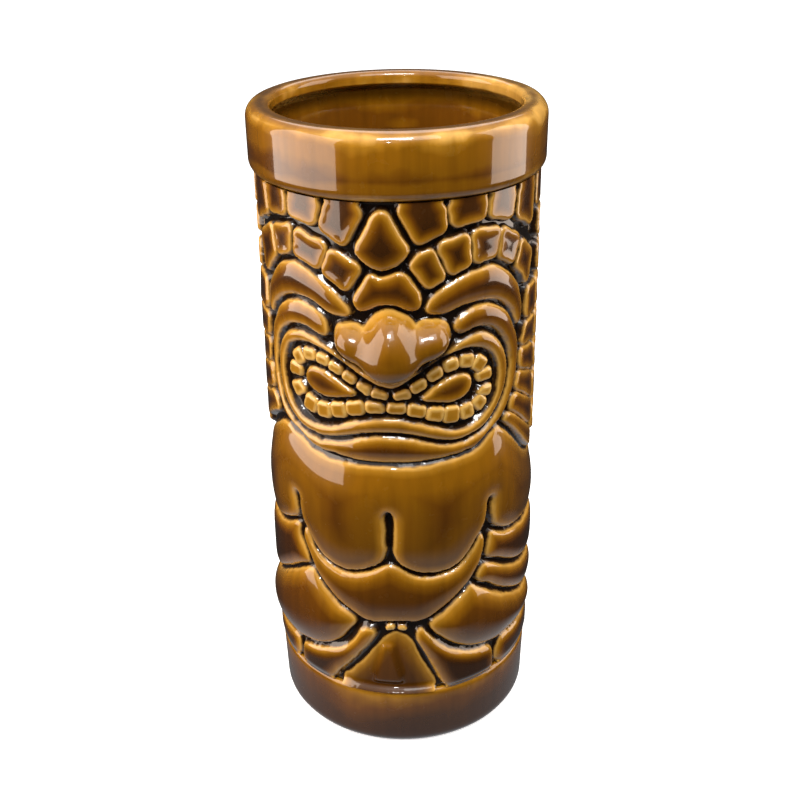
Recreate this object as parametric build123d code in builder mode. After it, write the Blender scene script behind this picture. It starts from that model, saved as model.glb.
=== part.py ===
from build123d import *
import os
from math import cos, radians, sin

# A glazed ceramic tiki mug. Millimetres, +Z up, the mug's axis is Z and its face looks along -Y.
# The origin is the centre of the foot ring, on the surface that the mug stands on.
#
# Every carved mass is laid out on the mug's round wall by (azimuth, height): the azimuth is in degrees
# round the axis, 0 at the front and positive towards +X (the viewer's right), and the height is in mm.

# ---- driving dimensions ----
MUG_HEIGHT = 170.0
FOOT_R = 35.0
FOOT_RECESS_R = 31.0
FOOT_RECESS_DEPTH = 1.6
PLINTH_R = 35.6
PLINTH_TOP = 18.6
PLINTH_BORE_R = 32.0
BAND_R = 36.2
BAND_BOTTOM = 154.6
LIP_INNER_R = 30.0
GROUND_LOW_R = 34.2
GROUND_HIGH_R = 33.2
CUP_LOW_R = 29.8
CUP_HIGH_R = 30.8
CUP_FLOOR = 7.0
CUP_CORNER = 7.0

# ---- how far each kind of mass stands proud of the wall's ground ----
TILE_RISE = 1.7
ROLL_RISE = 2.3
GEM_RISE = 2.6
LIP_RISE = 2.2
TOOTH_RISE = 1.5
LOBE_RISE = 1.8
CHIN_RISE = 2.0
HAIR_RISE = 1.8
CHEST_RISE = 3.6
BELLY_RISE = 3.0
ARM_RISE = 2.6
FIST_RISE = 4.4
LEG_RISE = 2.2
HIP_RISE = 1.9
BACK_RISE = 1.8
APRON_TOP_RISE = 0.8
APRON_FOOT_RISE = 2.4
NOSE_TIP_R = 43.0
NOSTRIL_TIP_R = 39.4

# ---- helpers ----
WALL_INNER_R = 31.0
WALL_OUTER_R = 47.0
WALL_FACE_LENGTH = 11.0
POINTS_PER_FACE = 5
MM_PER_DEGREE = 0.588
SPREAD = 0.35
BRICK_CORNER = 1.5
BLANK_MARGIN = 3.0
EGG_POINTS = 12


def ground_radius(height):
    """Radius of the wall's ground, the surface between the carved masses, at a height."""
    share = (height - PLINTH_TOP) / (BAND_BOTTOM - PLINTH_TOP)
    return GROUND_LOW_R + share * (GROUND_HIGH_R - GROUND_LOW_R)


def on_wall(azimuth, height, radius):
    """The point at an azimuth and a height, at a distance from the mug's axis."""
    angle = radians(azimuth)
    return Vector(radius * sin(angle), -radius * cos(angle), height)


def facing(azimuth, height, radius):
    """A plane that faces outwards, square to the radius at an azimuth, with its y direction up."""
    angle = radians(azimuth)
    return Plane(
        origin=on_wall(azimuth, height, radius),
        x_dir=(cos(angle), sin(angle), 0),
        z_dir=(sin(angle), -cos(angle), 0),
    )


def radial_wall(outline):
    """A wall square to the mug's surface, SPREAD outside a closed, smooth outline.

    The outline is smoothed on the wall's flat development, and the wall is a shell of short faces."""
    flat = Edge.make_spline([Vector(a * MM_PER_DEGREE, z) for a, z in outline], periodic=True)
    face_count = max(4, round(flat.length / WALL_FACE_LENGTH))
    point_count = face_count * POINTS_PER_FACE
    shares = [index / point_count for index in range(point_count)]
    turned_area = sum(
        (flat @ share).cross(flat @ following).Z for share, following in zip(shares, shares[1:] + [0.0])
    )
    outwards = Vector(0, 0, -1) if turned_area > 0 else Vector(0, 0, 1)
    places = []
    for share in shares:
        place = (flat @ share) - (flat % share).cross(outwards) * SPREAD
        places.append((place.X / MM_PER_DEGREE, place.Y))
    places.append(places[0])
    faces = []
    for first in range(0, point_count, POINTS_PER_FACE):
        stretch = places[first : first + POINTS_PER_FACE + 1]
        inner = Edge.make_spline([on_wall(a, z, WALL_INNER_R) for a, z in stretch])
        outer = Edge.make_spline([on_wall(a, z, WALL_OUTER_R) for a, z in stretch])
        faces.append(Face.make_surface_from_curves(inner, outer))
    return Shell(faces)


def softened(corners, share=0.09):
    """A block's outline: its sides' middles, and each corner as two points a short way along its sides."""
    outline = []
    for index, corner in enumerate(corners):
        before = corners[index - 1]
        after = corners[(index + 1) % len(corners)]
        for other, part_way in ((before, share), (after, share), (after, 0.5)):
            azimuth = corner[0] + part_way * (other[0] - corner[0])
            height = corner[1] + part_way * (other[1] - corner[1])
            outline.append((azimuth, height))
    return outline


def raise_masses(outlines, rise, rise_at_top=None):
    """Fills the open part with the masses inside the outlines, standing proud of the ground by rise.

    A ring that covers all the outlines is revolved first, and each mass is what its radial wall
    cuts out of the ring."""
    rise_at_top = rise if rise_at_top is None else rise_at_top
    heights = [height for outline in outlines for azimuth, height in outline]
    low = min(heights)
    high = max(heights)
    growth = (rise_at_top - rise) / (high - low)
    low = low - BLANK_MARGIN
    high = high + BLANK_MARGIN
    with BuildSketch(Plane.XZ) as ring_section:
        with BuildLine():
            Polyline(
                (ground_radius(low), low),
                (ground_radius(low) + rise - growth * BLANK_MARGIN, low),
                (ground_radius(high) + rise_at_top + growth * BLANK_MARGIN, high),
                (ground_radius(high), high),
                close=True,
            )
        make_face()
    revolve(ring_section.sketch, axis=Axis.Z)
    ring = solids()[0]
    masses = []
    for outline in outlines:
        pieces = ring.split(radial_wall(outline), keep=Keep.ALL)
        masses.append(min(pieces, key=lambda piece: piece.volume))
    add(masses, mode=Mode.REPLACE)


def raise_bricks(spans, low, high, rise):
    """Adds rounded bricks to the open part, each between two azimuths, from low to high."""
    for start, end in spans:
        angle = radians(start)
        upright = Plane((0, 0, 0), x_dir=(sin(angle), -cos(angle), 0), z_dir=(-cos(angle), -sin(angle), 0))
        with BuildSketch(upright) as brick_section:
            with BuildLine():
                Polyline(
                    (ground_radius(low), low),
                    (ground_radius(low) + rise, low),
                    (ground_radius(high) + rise, high),
                    (ground_radius(high), high),
                    close=True,
                )
            make_face()
        revolve(brick_section.sketch, axis=Axis.Z, revolution_arc=end - start)
    corners = edges().filter_by(GeomType.LINE).filter_by(lambda edge: edge.length < rise * 1.01)
    fillet(corners, radius=BRICK_CORNER)


def cut_back_to_ground(low, high):
    """Takes away from the open part whatever lies inside the wall's ground."""
    with BuildSketch(Plane.XZ) as ground_section:
        with BuildLine():
            Polyline(
                (0, low),
                (ground_radius(low), low),
                (ground_radius(high), high),
                (0, high),
                close=True,
            )
        make_face()
    revolve(ground_section.sketch, axis=Axis.Z, mode=Mode.SUBTRACT)


def loft_knob(azimuth, sections, taper=0.0, turn=0.0):
    """A rounded knob: egg shapes (radius, height, half width, half height) from its root to its tip.

    The eggs are narrower at their top by the taper, and turned anticlockwise by turn degrees."""
    steps = [index * 360 / EGG_POINTS for index in range(EGG_POINTS)]
    eggs = []
    for radius, height, half_width, half_height in sections:
        rim = []
        for step in steps:
            across = half_width * sin(radians(step)) * (1 - taper * cos(radians(step)))
            rim.append(Vector(across, half_height * cos(radians(step)), 0).rotate(Axis.Z, turn))
        with BuildSketch(facing(azimuth, height, radius)) as section:
            with BuildLine():
                Spline(rim, periodic=True)
            make_face()
        eggs.append(section.sketch)
    loft(eggs)


# ---- vessel: the cup itself, a wall and a floor ----
with BuildPart() as vessel:
    with BuildSketch(Plane.XZ) as vessel_section:
        with BuildLine():
            Polyline(
                (0, FOOT_RECESS_DEPTH),
                (PLINTH_BORE_R, FOOT_RECESS_DEPTH),
                (PLINTH_BORE_R, PLINTH_TOP),
                (GROUND_LOW_R, PLINTH_TOP),
                (GROUND_HIGH_R, BAND_BOTTOM),
                (CUP_HIGH_R, BAND_BOTTOM),
                (CUP_LOW_R, CUP_FLOOR),
                (0, CUP_FLOOR),
                close=True,
            )
        make_face()
        inner_corner = vessel_section.vertices().sort_by_distance((CUP_LOW_R, CUP_FLOOR))[0]
        fillet(inner_corner, radius=CUP_CORNER)
    revolve(axis=Axis.Z)

# ---- rim band: the smooth collar round the mouth; its rounded lip overhangs the inside a little ----
BAND_LOWER_ROUND = 2.6
LIP_OUTER_ROUND = 3.2
LIP_INNER_ROUND = 1.6
LIP_EDGE_ROUND = 0.6
LIP_DEPTH = 3.0
RECESS_DEPTH = 4.6
RECESS_R = 31.4
with BuildPart() as rim_band:
    with BuildSketch(Plane.XZ) as band_section:
        with BuildLine():
            Polyline(
                (CUP_HIGH_R, BAND_BOTTOM),
                (BAND_R, BAND_BOTTOM),
                (BAND_R, MUG_HEIGHT),
                (LIP_INNER_R, MUG_HEIGHT),
                (LIP_INNER_R, MUG_HEIGHT - LIP_DEPTH),
                (RECESS_R, MUG_HEIGHT - RECESS_DEPTH),
                close=True,
            )
        make_face()
        outer_low = band_section.vertices().sort_by_distance((BAND_R, BAND_BOTTOM))[0]
        fillet(outer_low, radius=BAND_LOWER_ROUND)
        outer_top = band_section.vertices().sort_by_distance((BAND_R, MUG_HEIGHT))[0]
        fillet(outer_top, radius=LIP_OUTER_ROUND)
        inner_top = band_section.vertices().sort_by_distance((LIP_INNER_R, MUG_HEIGHT))[0]
        fillet(inner_top, radius=LIP_INNER_ROUND)
        inner_low = band_section.vertices().sort_by_distance((LIP_INNER_R, MUG_HEIGHT - LIP_DEPTH))[0]
        fillet(inner_low, radius=LIP_EDGE_ROUND)
    revolve(axis=Axis.Z)

# ---- base plinth: the plain band that the figure stands on, and the foot ring under it ----
FOOT_ROUND = 3.0
PLINTH_TOP_ROUND = 1.2
with BuildPart() as base_plinth:
    with BuildSketch(Plane.XZ) as plinth_section:
        with BuildLine():
            Polyline(
                (FOOT_RECESS_R, 0),
                (FOOT_R, 0),
                (PLINTH_R, PLINTH_TOP),
                (PLINTH_BORE_R, PLINTH_TOP),
                (PLINTH_BORE_R, FOOT_RECESS_DEPTH),
                (FOOT_RECESS_R, FOOT_RECESS_DEPTH),
                close=True,
            )
        make_face()
        foot_corner = plinth_section.vertices().sort_by_distance((FOOT_R, 0))[0]
        fillet(foot_corner, radius=FOOT_ROUND)
        top_corner = plinth_section.vertices().sort_by_distance((PLINTH_R, PLINTH_TOP))[0]
        fillet(top_corner, radius=PLINTH_TOP_ROUND)
    revolve(axis=Axis.Z)

# ---- crown tiles: the row of blocks under the band, cut to the brows in front and plain behind ----
FRONT_CROWN_TILES = [
    [(-22.0, 153.75), (-25.0, 147.8), (-15.0, 144.2), (-8.5, 151.6), (-9.5, 153.75)],
    [(-40.2, 153.75), (-25.2, 153.75), (-27.5, 148.2), (-40.2, 149.2)],
    [(-55.2, 153.75), (-42.6, 153.75), (-42.8, 148.9), (-53.2, 148.4)],
    [(-70.5, 153.75), (-57.5, 153.75), (-55.8, 147.6), (-68.5, 144.6)],
    [(4.9, 153.75), (22.2, 153.75), (23.2, 147.9), (12.1, 145.0)],
    [(25.0, 153.75), (40.4, 153.75), (39.7, 149.2), (25.9, 148.5)],
    [(43.0, 153.75), (56.0, 153.75), (54.2, 147.4), (42.0, 148.9)],
    [(58.6, 153.75), (72.5, 153.75), (70.0, 143.2), (57.0, 146.9)],
]
BACK_CROWN_COUNT = 14
BACK_CROWN_FIRST = 75.0
BACK_CROWN_LAST = 287.0
BACK_CROWN_LOW = 146.4
BACK_CROWN_TOP = 154.2
BLOCK_GAP = 2.4
with BuildPart() as crown_tiles_front:
    raise_masses([softened(corners) for corners in FRONT_CROWN_TILES], TILE_RISE)

with BuildPart() as crown_tiles_back:
    crown_pitch = (BACK_CROWN_LAST - BACK_CROWN_FIRST) / BACK_CROWN_COUNT
    crown_starts = [BACK_CROWN_FIRST + index * crown_pitch for index in range(BACK_CROWN_COUNT)]
    crown_spans = [(start, start + crown_pitch - BLOCK_GAP) for start in crown_starts]
    raise_bricks(crown_spans, BACK_CROWN_LOW, BACK_CROWN_TOP, TILE_RISE)

# ---- brow tiles: the arched row of blocks over each brow ----
BROW_TILES_LEFT = [
    [(-20.3, 143.2), (-8.7, 139.2), (-14.3, 133.6), (-24.7, 137.5)],
    [(-36.9, 146.3), (-22.6, 143.7), (-26.5, 138.0), (-38.2, 139.8)],
    [(-51.2, 145.2), (-39.4, 146.7), (-40.9, 139.9), (-48.6, 138.6)],
    [(-64.5, 141.4), (-53.0, 144.9), (-50.6, 138.0), (-60.0, 132.4)],
]
BROW_TILES_RIGHT = [
    [(9.5, 140.3), (12.8, 142.6), (17.9, 143.6), (22.8, 136.6), (16.3, 134.5)],
    [(20.3, 144.4), (32.2, 146.1), (33.3, 138.9), (25.3, 137.3)],
    [(34.6, 146.5), (47.4, 145.9), (45.5, 139.5), (35.5, 138.9)],
    [(49.3, 145.3), (59.7, 142.0), (55.4, 136.1), (47.6, 138.8)],
    [(61.8, 141.0), (72.0, 136.2), (67.6, 128.9), (57.2, 134.9)],
]
with BuildPart() as brow_tiles_left:
    raise_masses([softened(corners) for corners in BROW_TILES_LEFT], TILE_RISE)

with BuildPart() as brow_tiles_right:
    raise_masses([softened(corners) for corners in BROW_TILES_RIGHT], TILE_RISE)

# ---- forehead gem: the pointed kite between the two halves of the crown ----
FOREHEAD_GEM = [
    (-0.6, 153.75), (-11.0, 143.8), (-8.4, 141.6), (-3.6, 139.8), (1.0, 139.4), (5.4, 140.6), (9.4, 143.8),
]
with BuildPart() as forehead_gem:
    raise_masses([softened(FOREHEAD_GEM, 0.14)], GEM_RISE)

# ---- bridge plate: the saddle shape over the nose ----
BRIDGE_PLATE = [
    (-4.5, 137.8), (0.8, 137.2), (6.0, 138.3), (9.5, 136.0), (12.8, 132.6), (11.6, 129.6),
    (6.5, 130.6), (0.8, 131.2), (-5.0, 130.6), (-10.0, 129.5), (-11.4, 132.2), (-8.0, 135.6),
]
with BuildPart() as bridge_plate:
    raise_masses([BRIDGE_PLATE], GEM_RISE)

# ---- brow rolls: the thick arched brows ----
BROW_ROLL_LEFT = [
    (-13.4, 128.2), (-17.5, 131.0), (-25.0, 134.4), (-33.0, 136.9), (-39.5, 137.7), (-46.0, 136.6),
    (-52.5, 133.8), (-57.5, 129.6), (-59.8, 124.6), (-58.6, 121.4), (-55.8, 124.6), (-50.2, 127.9),
    (-43.0, 129.9), (-35.7, 130.5), (-28.3, 129.7), (-20.5, 127.6),
]
BROW_ROLL_RIGHT = [
    (16.2, 129.4), (19.2, 132.0), (26.0, 134.5), (35.7, 136.6), (44.3, 136.8), (52.5, 134.2),
    (59.4, 130.2), (62.8, 125.4), (63.2, 120.2), (61.4, 119.6), (58.4, 122.8), (53.6, 126.1),
    (47.2, 128.8), (38.0, 130.0), (28.8, 129.5), (20.6, 128.3),
]
with BuildPart() as brow_roll_left:
    raise_masses([BROW_ROLL_LEFT], ROLL_RISE)

with BuildPart() as brow_roll_right:
    raise_masses([BROW_ROLL_RIGHT], ROLL_RISE)

# ---- cheek rolls: from beside the nose over the mouth and down to the jaw ----
CHEEK_ROLL_LEFT = [
    (-22.8, 122.8), (-26.0, 126.0), (-33.0, 128.0), (-41.0, 127.8), (-49.3, 125.2), (-55.4, 120.6),
    (-58.8, 114.5), (-59.2, 107.6), (-57.2, 102.2), (-52.0, 97.6), (-44.5, 94.4), (-36.0, 92.6),
    (-29.0, 91.7), (-28.4, 92.6), (-36.0, 93.7), (-44.2, 95.7), (-50.4, 99.2), (-54.2, 103.8),
    (-55.2, 108.8), (-53.6, 115.2), (-49.0, 119.6), (-41.6, 122.2), (-33.0, 122.5), (-26.4, 121.2),
]
CHEEK_ROLL_RIGHT = [
    (27.4, 124.4), (32.0, 126.6), (38.0, 127.6), (46.2, 126.6), (53.6, 123.4), (58.6, 118.0),
    (60.8, 111.4), (59.8, 105.4), (56.2, 100.8), (50.4, 96.8), (42.0, 93.6), (32.6, 91.8),
    (31.8, 92.7), (40.6, 94.7), (48.0, 98.2), (53.8, 103.0), (56.0, 108.4), (55.2, 113.4),
    (51.4, 118.0), (44.8, 121.9), (36.2, 123.3), (29.4, 122.6),
]
with BuildPart() as cheek_roll_left:
    raise_masses([CHEEK_ROLL_LEFT], ROLL_RISE)

with BuildPart() as cheek_roll_right:
    raise_masses([CHEEK_ROLL_RIGHT], ROLL_RISE)

# ---- lip ring: one closed roll round the wide, pinched mouth ----
LIP_OUTER = [
    (1.0, 112.2), (-9.0, 113.7), (-16.5, 115.6), (-24.5, 119.0), (-33.0, 120.9), (-41.0, 120.6),
    (-47.4, 118.4), (-51.6, 114.4), (-53.0, 108.8), (-51.4, 103.4), (-47.8, 99.6), (-42.4, 97.0),
    (-36.0, 95.2), (-29.0, 94.6), (-19.0, 95.8), (-9.0, 97.6), (-1.0, 98.1), (9.0, 97.6), (18.0, 95.9),
    (28.0, 94.6), (37.0, 95.4), (44.6, 98.4), (50.8, 103.4), (53.4, 108.6), (52.6, 113.0),
    (49.2, 117.0), (43.6, 120.3), (35.7, 121.5), (28.2, 119.6), (19.6, 115.9), (10.5, 113.6),
]
LIP_INNER = [
    (1.0, 109.2), (-8.5, 111.4), (-16.0, 114.4), (-24.0, 117.0), (-32.0, 118.2), (-39.5, 117.8),
    (-45.2, 115.2), (-47.8, 109.8), (-46.6, 104.2), (-42.4, 100.2), (-34.0, 97.6), (-24.0, 98.0),
    (-14.0, 100.4), (-2.0, 101.9), (9.5, 101.6), (18.0, 99.6), (28.0, 97.4), (36.5, 98.2),
    (43.2, 101.6), (47.0, 106.4), (47.2, 110.6), (45.0, 114.2), (40.2, 117.0), (33.2, 118.1),
    (25.5, 117.4), (17.0, 114.8), (8.5, 111.2),
]
with BuildPart() as lip_ring:
    raise_masses([LIP_OUTER], LIP_RISE)
    lip_pieces = solids()[0].split(radial_wall(LIP_INNER), keep=Keep.ALL)
    add(max(lip_pieces, key=lambda piece: piece.bounding_box().diagonal), mode=Mode.REPLACE)

# ---- teeth: small blocks all round the mouth, each turned to follow the lip ----
# (azimuth, height, width along the lip, height across it, turn in degrees)
TOOTH_INSET = 0.25
UPPER_TEETH = [
    (-2.6, 107.9, 3.7, 2.1, -16),
    (-9.0, 109.5, 3.4, 2.3, -25),
    (-14.9, 111.6, 3.2, 2.5, -28),
    (-20.7, 113.6, 3.2, 2.5, -20),
    (-26.5, 115.1, 3.0, 2.5, -10),
    (-32.8, 115.7, 3.3, 2.7, 4),
    (-38.9, 114.0, 3.1, 3.2, 38),
    (-41.2, 110.1, 2.9, 3.5, 86),
    (5.8, 107.8, 3.6, 2.2, 16),
    (12.9, 110.0, 3.4, 2.5, 26),
    (19.4, 112.6, 3.2, 2.7, 24),
    (25.8, 114.5, 3.1, 2.8, 12),
    (32.4, 115.0, 3.1, 2.9, -6),
    (38.4, 113.4, 3.0, 3.2, -40),
    (40.9, 109.8, 2.8, 3.7, -84),
]
LOWER_TEETH = [
    (-40.0, 105.6, 3.4, 3.4, 126),
    (-33.4, 102.4, 3.2, 3.4, 162),
    (-26.7, 101.8, 3.1, 3.2, 2),
    (-20.0, 102.7, 3.1, 3.2, 10),
    (-12.8, 103.9, 3.6, 3.0, 9),
    (-4.6, 104.7, 3.9, 2.4, 3),
    (3.9, 104.6, 3.8, 2.4, -3),
    (11.8, 103.6, 3.7, 2.9, -9),
    (19.2, 102.4, 3.6, 3.2, -9),
    (26.1, 101.6, 3.1, 3.4, -3),
    (32.6, 101.7, 3.0, 3.3, 10),
    (38.7, 103.2, 2.9, 3.3, 40),
    (41.2, 106.2, 2.6, 3.6, 74),
]


def tooth_outline(azimuth, height, width, tall, turn):
    """A block centred at (azimuth, height) on the ground and turned anticlockwise."""
    corners = []
    for across, up in ((-1, -1), (1, -1), (1, 1), (-1, 1)):
        half_width = width / 2 - TOOTH_INSET
        half_height = tall / 2 - TOOTH_INSET
        offset = Vector(across * half_width, up * half_height, 0).rotate(Axis.Z, turn)
        corners.append((azimuth + offset.X / MM_PER_DEGREE, height + offset.Y))
    return softened(corners)


with BuildPart() as upper_teeth:
    raise_masses([tooth_outline(*tooth) for tooth in UPPER_TEETH], TOOTH_RISE)

with BuildPart() as lower_teeth:
    raise_masses([tooth_outline(*tooth) for tooth in LOWER_TEETH], TOOTH_RISE)

# ---- mouth lobes: the two leaf shapes inside the mouth ----
MOUTH_LOBE_LEFT = [
    (-12.0, 107.9), (-17.0, 109.6), (-22.6, 111.3), (-28.9, 112.4), (-33.2, 111.4),
    (-34.2, 109.2), (-30.6, 107.0), (-24.0, 106.2), (-17.4, 106.9),
]
MOUTH_LOBE_RIGHT = [
    (13.6, 107.2), (18.0, 109.2), (23.6, 111.2), (29.0, 111.8), (33.0, 110.8),
    (33.6, 108.6), (30.8, 106.4), (26.0, 105.6), (19.4, 106.0),
]
with BuildPart() as mouth_lobe_left:
    raise_masses([MOUTH_LOBE_LEFT], LOBE_RISE)

with BuildPart() as mouth_lobe_right:
    raise_masses([MOUTH_LOBE_RIGHT], LOBE_RISE)

# ---- nose: a bulb, broad at its foot, with a wing on each side that runs in under it ----
NOSE_LOW = 105.0
NOSE_HIGH = 137.0
BULB_TAPER = 0.28
WING_TURN_LEFT = -35.0
WING_TURN_RIGHT = 32.0
with BuildPart() as nose_bulb:
    loft_knob(
        2.0,
        [
            (WALL_INNER_R, 120.8, 7.6, 8.7),
            (36.0, 120.6, 7.3, 8.6),
            (40.0, 119.8, 5.9, 7.2),
            (42.2, 119.4, 3.8, 4.7),
            (NOSE_TIP_R, 119.3, 1.6, 2.0),
        ],
        taper=BULB_TAPER,
    )
    cut_back_to_ground(NOSE_LOW, NOSE_HIGH)
    add(lip_ring.part, mode=Mode.SUBTRACT)

with BuildPart() as nostril_left:
    loft_knob(
        -11.8,
        [
            (WALL_INNER_R, 120.8, 5.9, 4.2),
            (36.0, 120.7, 5.6, 4.0),
            (38.3, 120.3, 4.3, 3.0),
            (NOSTRIL_TIP_R, 120.1, 1.8, 1.2),
        ],
        turn=WING_TURN_LEFT,
    )
    cut_back_to_ground(NOSE_LOW, NOSE_HIGH)
    add(nose_bulb.part, mode=Mode.SUBTRACT)
    add(lip_ring.part, mode=Mode.SUBTRACT)

with BuildPart() as nostril_right:
    loft_knob(
        16.6,
        [
            (WALL_INNER_R, 121.4, 5.6, 4.5),
            (36.0, 121.3, 5.3, 4.3),
            (38.3, 120.9, 4.1, 3.2),
            (NOSTRIL_TIP_R, 120.7, 1.7, 1.3),
        ],
        turn=WING_TURN_RIGHT,
    )
    cut_back_to_ground(NOSE_LOW, NOSE_HIGH)
    add(nose_bulb.part, mode=Mode.SUBTRACT)
    add(lip_ring.part, mode=Mode.SUBTRACT)

# ---- chin: the crescent under the lower lip that runs from one cheek roll's end to the other's ----
CHIN = [
    (-31.0, 92.3), (-27.0, 93.4), (-21.0, 94.0), (-12.0, 95.6), (0.0, 96.6), (11.0, 95.8), (21.0, 94.0),
    (28.0, 93.4), (34.0, 92.6), (33.0, 91.7), (27.0, 90.9), (14.0, 90.4), (0.0, 90.3), (-14.0, 90.4),
    (-26.0, 90.9), (-30.6, 91.4),
]
with BuildPart() as chin:
    raise_masses([CHIN], CHIN_RISE)
    add(cheek_roll_left.part, mode=Mode.SUBTRACT)
    add(cheek_roll_right.part, mode=Mode.SUBTRACT)

# ---- side locks: a stack of hair blocks beside each cheek, leaning further down the stack ----
SIDE_LOCKS_RIGHT = [
    [(68.4, 127.2), (78.5, 127.0), (78.5, 119.8), (67.2, 120.0)],
    [(66.8, 118.4), (78.5, 118.0), (78.5, 111.8), (64.0, 113.4)],
    [(63.6, 111.8), (78.5, 110.0), (78.5, 103.8), (62.6, 107.6)],
    [(62.2, 106.0), (78.5, 102.0), (78.5, 95.8), (59.4, 102.6)],
    [(58.6, 101.2), (78.5, 93.8), (78.5, 87.6), (55.2, 98.4)],
    [(54.0, 97.2), (78.5, 85.6), (78.5, 80.4), (52.8, 94.6)],
]
SIDE_LOCKS_LEFT = [
    [(-78.5, 129.4), (-63.4, 129.2), (-61.0, 122.6), (-78.5, 122.0)],
    [(-78.5, 120.2), (-60.8, 120.8), (-61.4, 115.2), (-78.5, 113.8)],
    [(-78.5, 112.0), (-61.4, 113.6), (-61.6, 108.2), (-78.5, 105.6)],
    [(-78.5, 103.8), (-61.2, 106.6), (-59.6, 101.6), (-78.5, 97.4)],
    [(-78.5, 95.6), (-58.8, 100.0), (-54.2, 96.6), (-78.5, 88.4)],
]
with BuildPart() as side_locks_right:
    raise_masses([softened(corners) for corners in SIDE_LOCKS_RIGHT], HAIR_RISE)

with BuildPart() as side_locks_left:
    raise_masses([softened(corners) for corners in SIDE_LOCKS_LEFT], HAIR_RISE)

# ---- back hair: rows of blocks over the back of the head, every other row moved by half a block ----
HAIR_TOP = 144.8
HAIR_BLOCK = 7.4
HAIR_ROW_GAP = 1.5
HAIR_ROWS = 7
HAIR_COLUMNS = 12
HAIR_FIRST = 81.0
HAIR_LAST = 279.0
hair_pitch = (HAIR_LAST - HAIR_FIRST) / HAIR_COLUMNS
back_hair = []
for row in range(HAIR_ROWS):
    row_top = HAIR_TOP - row * (HAIR_BLOCK + HAIR_ROW_GAP)
    half_block = row % 2 * hair_pitch / 2
    joints = [HAIR_FIRST + column * hair_pitch + half_block for column in range(HAIR_COLUMNS + 1)]
    joints = sorted({HAIR_FIRST, HAIR_LAST, *(joint for joint in joints if joint < HAIR_LAST)})
    spans = [(start + BLOCK_GAP / 2, end - BLOCK_GAP / 2) for start, end in zip(joints, joints[1:])]
    with BuildPart() as hair_row:
        raise_bricks(spans, row_top - HAIR_BLOCK, row_top, HAIR_RISE)
    hair_row.part.label = f"back_hair_row_{row + 1}"
    back_hair.append(hair_row)

# ---- chest: both breasts, the shoulders and the upper arms are one mass, parted from below ----
CHEST = [
    (0.2, 75.8), (1.7, 71.0), (2.3, 65.0), (4.8, 60.6), (10.5, 58.3), (18.0, 57.4), (26.0, 58.0),
    (33.5, 61.2), (39.3, 66.0), (42.0, 70.6), (43.2, 74.4), (44.6, 75.8), (46.1, 74.2),
    (46.6, 70.0), (48.6, 65.8), (58.0, 62.9), (70.0, 61.5), (84.0, 61.0), (96.0, 63.0),
    (102.0, 67.6), (102.0, 73.4), (94.0, 76.6), (82.0, 77.8), (72.0, 81.2), (62.0, 87.0),
    (54.0, 92.2), (48.8, 94.0), (43.0, 92.0), (34.0, 89.2), (22.0, 88.2), (8.0, 87.9),
    (-8.0, 87.9), (-22.0, 88.0), (-32.0, 89.0), (-39.0, 90.9), (-46.0, 93.0), (-53.0, 92.6),
    (-62.0, 89.6), (-72.0, 85.6), (-84.0, 80.4), (-94.0, 77.0), (-102.0, 73.4), (-102.0, 67.6),
    (-96.0, 63.0), (-84.0, 61.2), (-70.0, 61.9), (-58.0, 63.9), (-47.4, 66.4), (-45.4, 70.4),
    (-45.0, 74.2), (-43.5, 75.8), (-42.1, 74.2), (-41.3, 70.4), (-38.8, 66.2), (-33.5, 61.8),
    (-26.5, 58.4), (-18.5, 57.3), (-10.0, 58.6), (-4.2, 60.8), (-1.8, 65.0), (-1.3, 71.0),
]
with BuildPart() as chest:
    raise_masses([CHEST], CHEST_RISE)

# ---- belly: the rounded shield under the breasts ----
BELLY = [
    (0.4, 59.0), (4.2, 58.4), (10.2, 56.3), (18.0, 55.5), (26.6, 56.0), (35.0, 59.6), (41.0, 64.4),
    (42.6, 61.6), (39.4, 56.6), (34.0, 52.2), (26.5, 47.6), (17.5, 44.0), (8.5, 42.5),
    (-3.0, 42.2), (-13.5, 43.2), (-22.0, 46.0), (-31.5, 51.4), (-38.0, 57.4), (-41.6, 62.8),
    (-41.0, 64.2), (-35.4, 60.0), (-27.2, 56.6), (-18.5, 55.4), (-9.6, 56.6), (-3.6, 58.5),
]
with BuildPart() as belly:
    raise_masses([BELLY], BELLY_RISE)

# ---- arms: one broad forearm band on the left, two narrower ones on the right ----
FOREARM_LEFT = [
    (-45.4, 64.4), (-43.2, 60.0), (-39.6, 56.0), (-39.2, 55.0), (-45.0, 52.4), (-54.0, 48.6),
    (-64.0, 44.8), (-78.0, 40.6), (-91.0, 40.0), (-99.0, 44.0), (-101.0, 50.4), (-97.0, 56.2),
    (-88.0, 59.0), (-76.0, 59.6), (-64.0, 60.6), (-54.0, 62.4),
]
FOREARM_RIGHT_UPPER = [
    (45.6, 63.8), (44.2, 60.6), (43.6, 57.8), (51.5, 54.9), (62.0, 51.2), (74.0, 48.6), (86.0, 47.6),
    (96.0, 49.6), (101.0, 54.0), (96.0, 58.0), (86.0, 59.2), (74.0, 59.6), (62.0, 60.6), (53.0, 62.2),
]
FOREARM_RIGHT_LOWER = [
    (39.4, 51.8), (43.4, 55.2), (50.0, 52.9), (60.0, 49.2), (72.0, 46.4), (84.0, 45.2), (92.0, 43.4),
    (93.0, 40.4), (84.0, 38.1), (72.0, 38.9), (61.0, 42.0), (51.0, 45.9), (43.4, 49.4),
]
with BuildPart() as forearm_left:
    raise_masses([FOREARM_LEFT], ARM_RISE)

with BuildPart() as forearm_right_upper:
    raise_masses([FOREARM_RIGHT_UPPER], ARM_RISE)

with BuildPart() as forearm_right_lower:
    raise_masses([FOREARM_RIGHT_LOWER], ARM_RISE)

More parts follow.
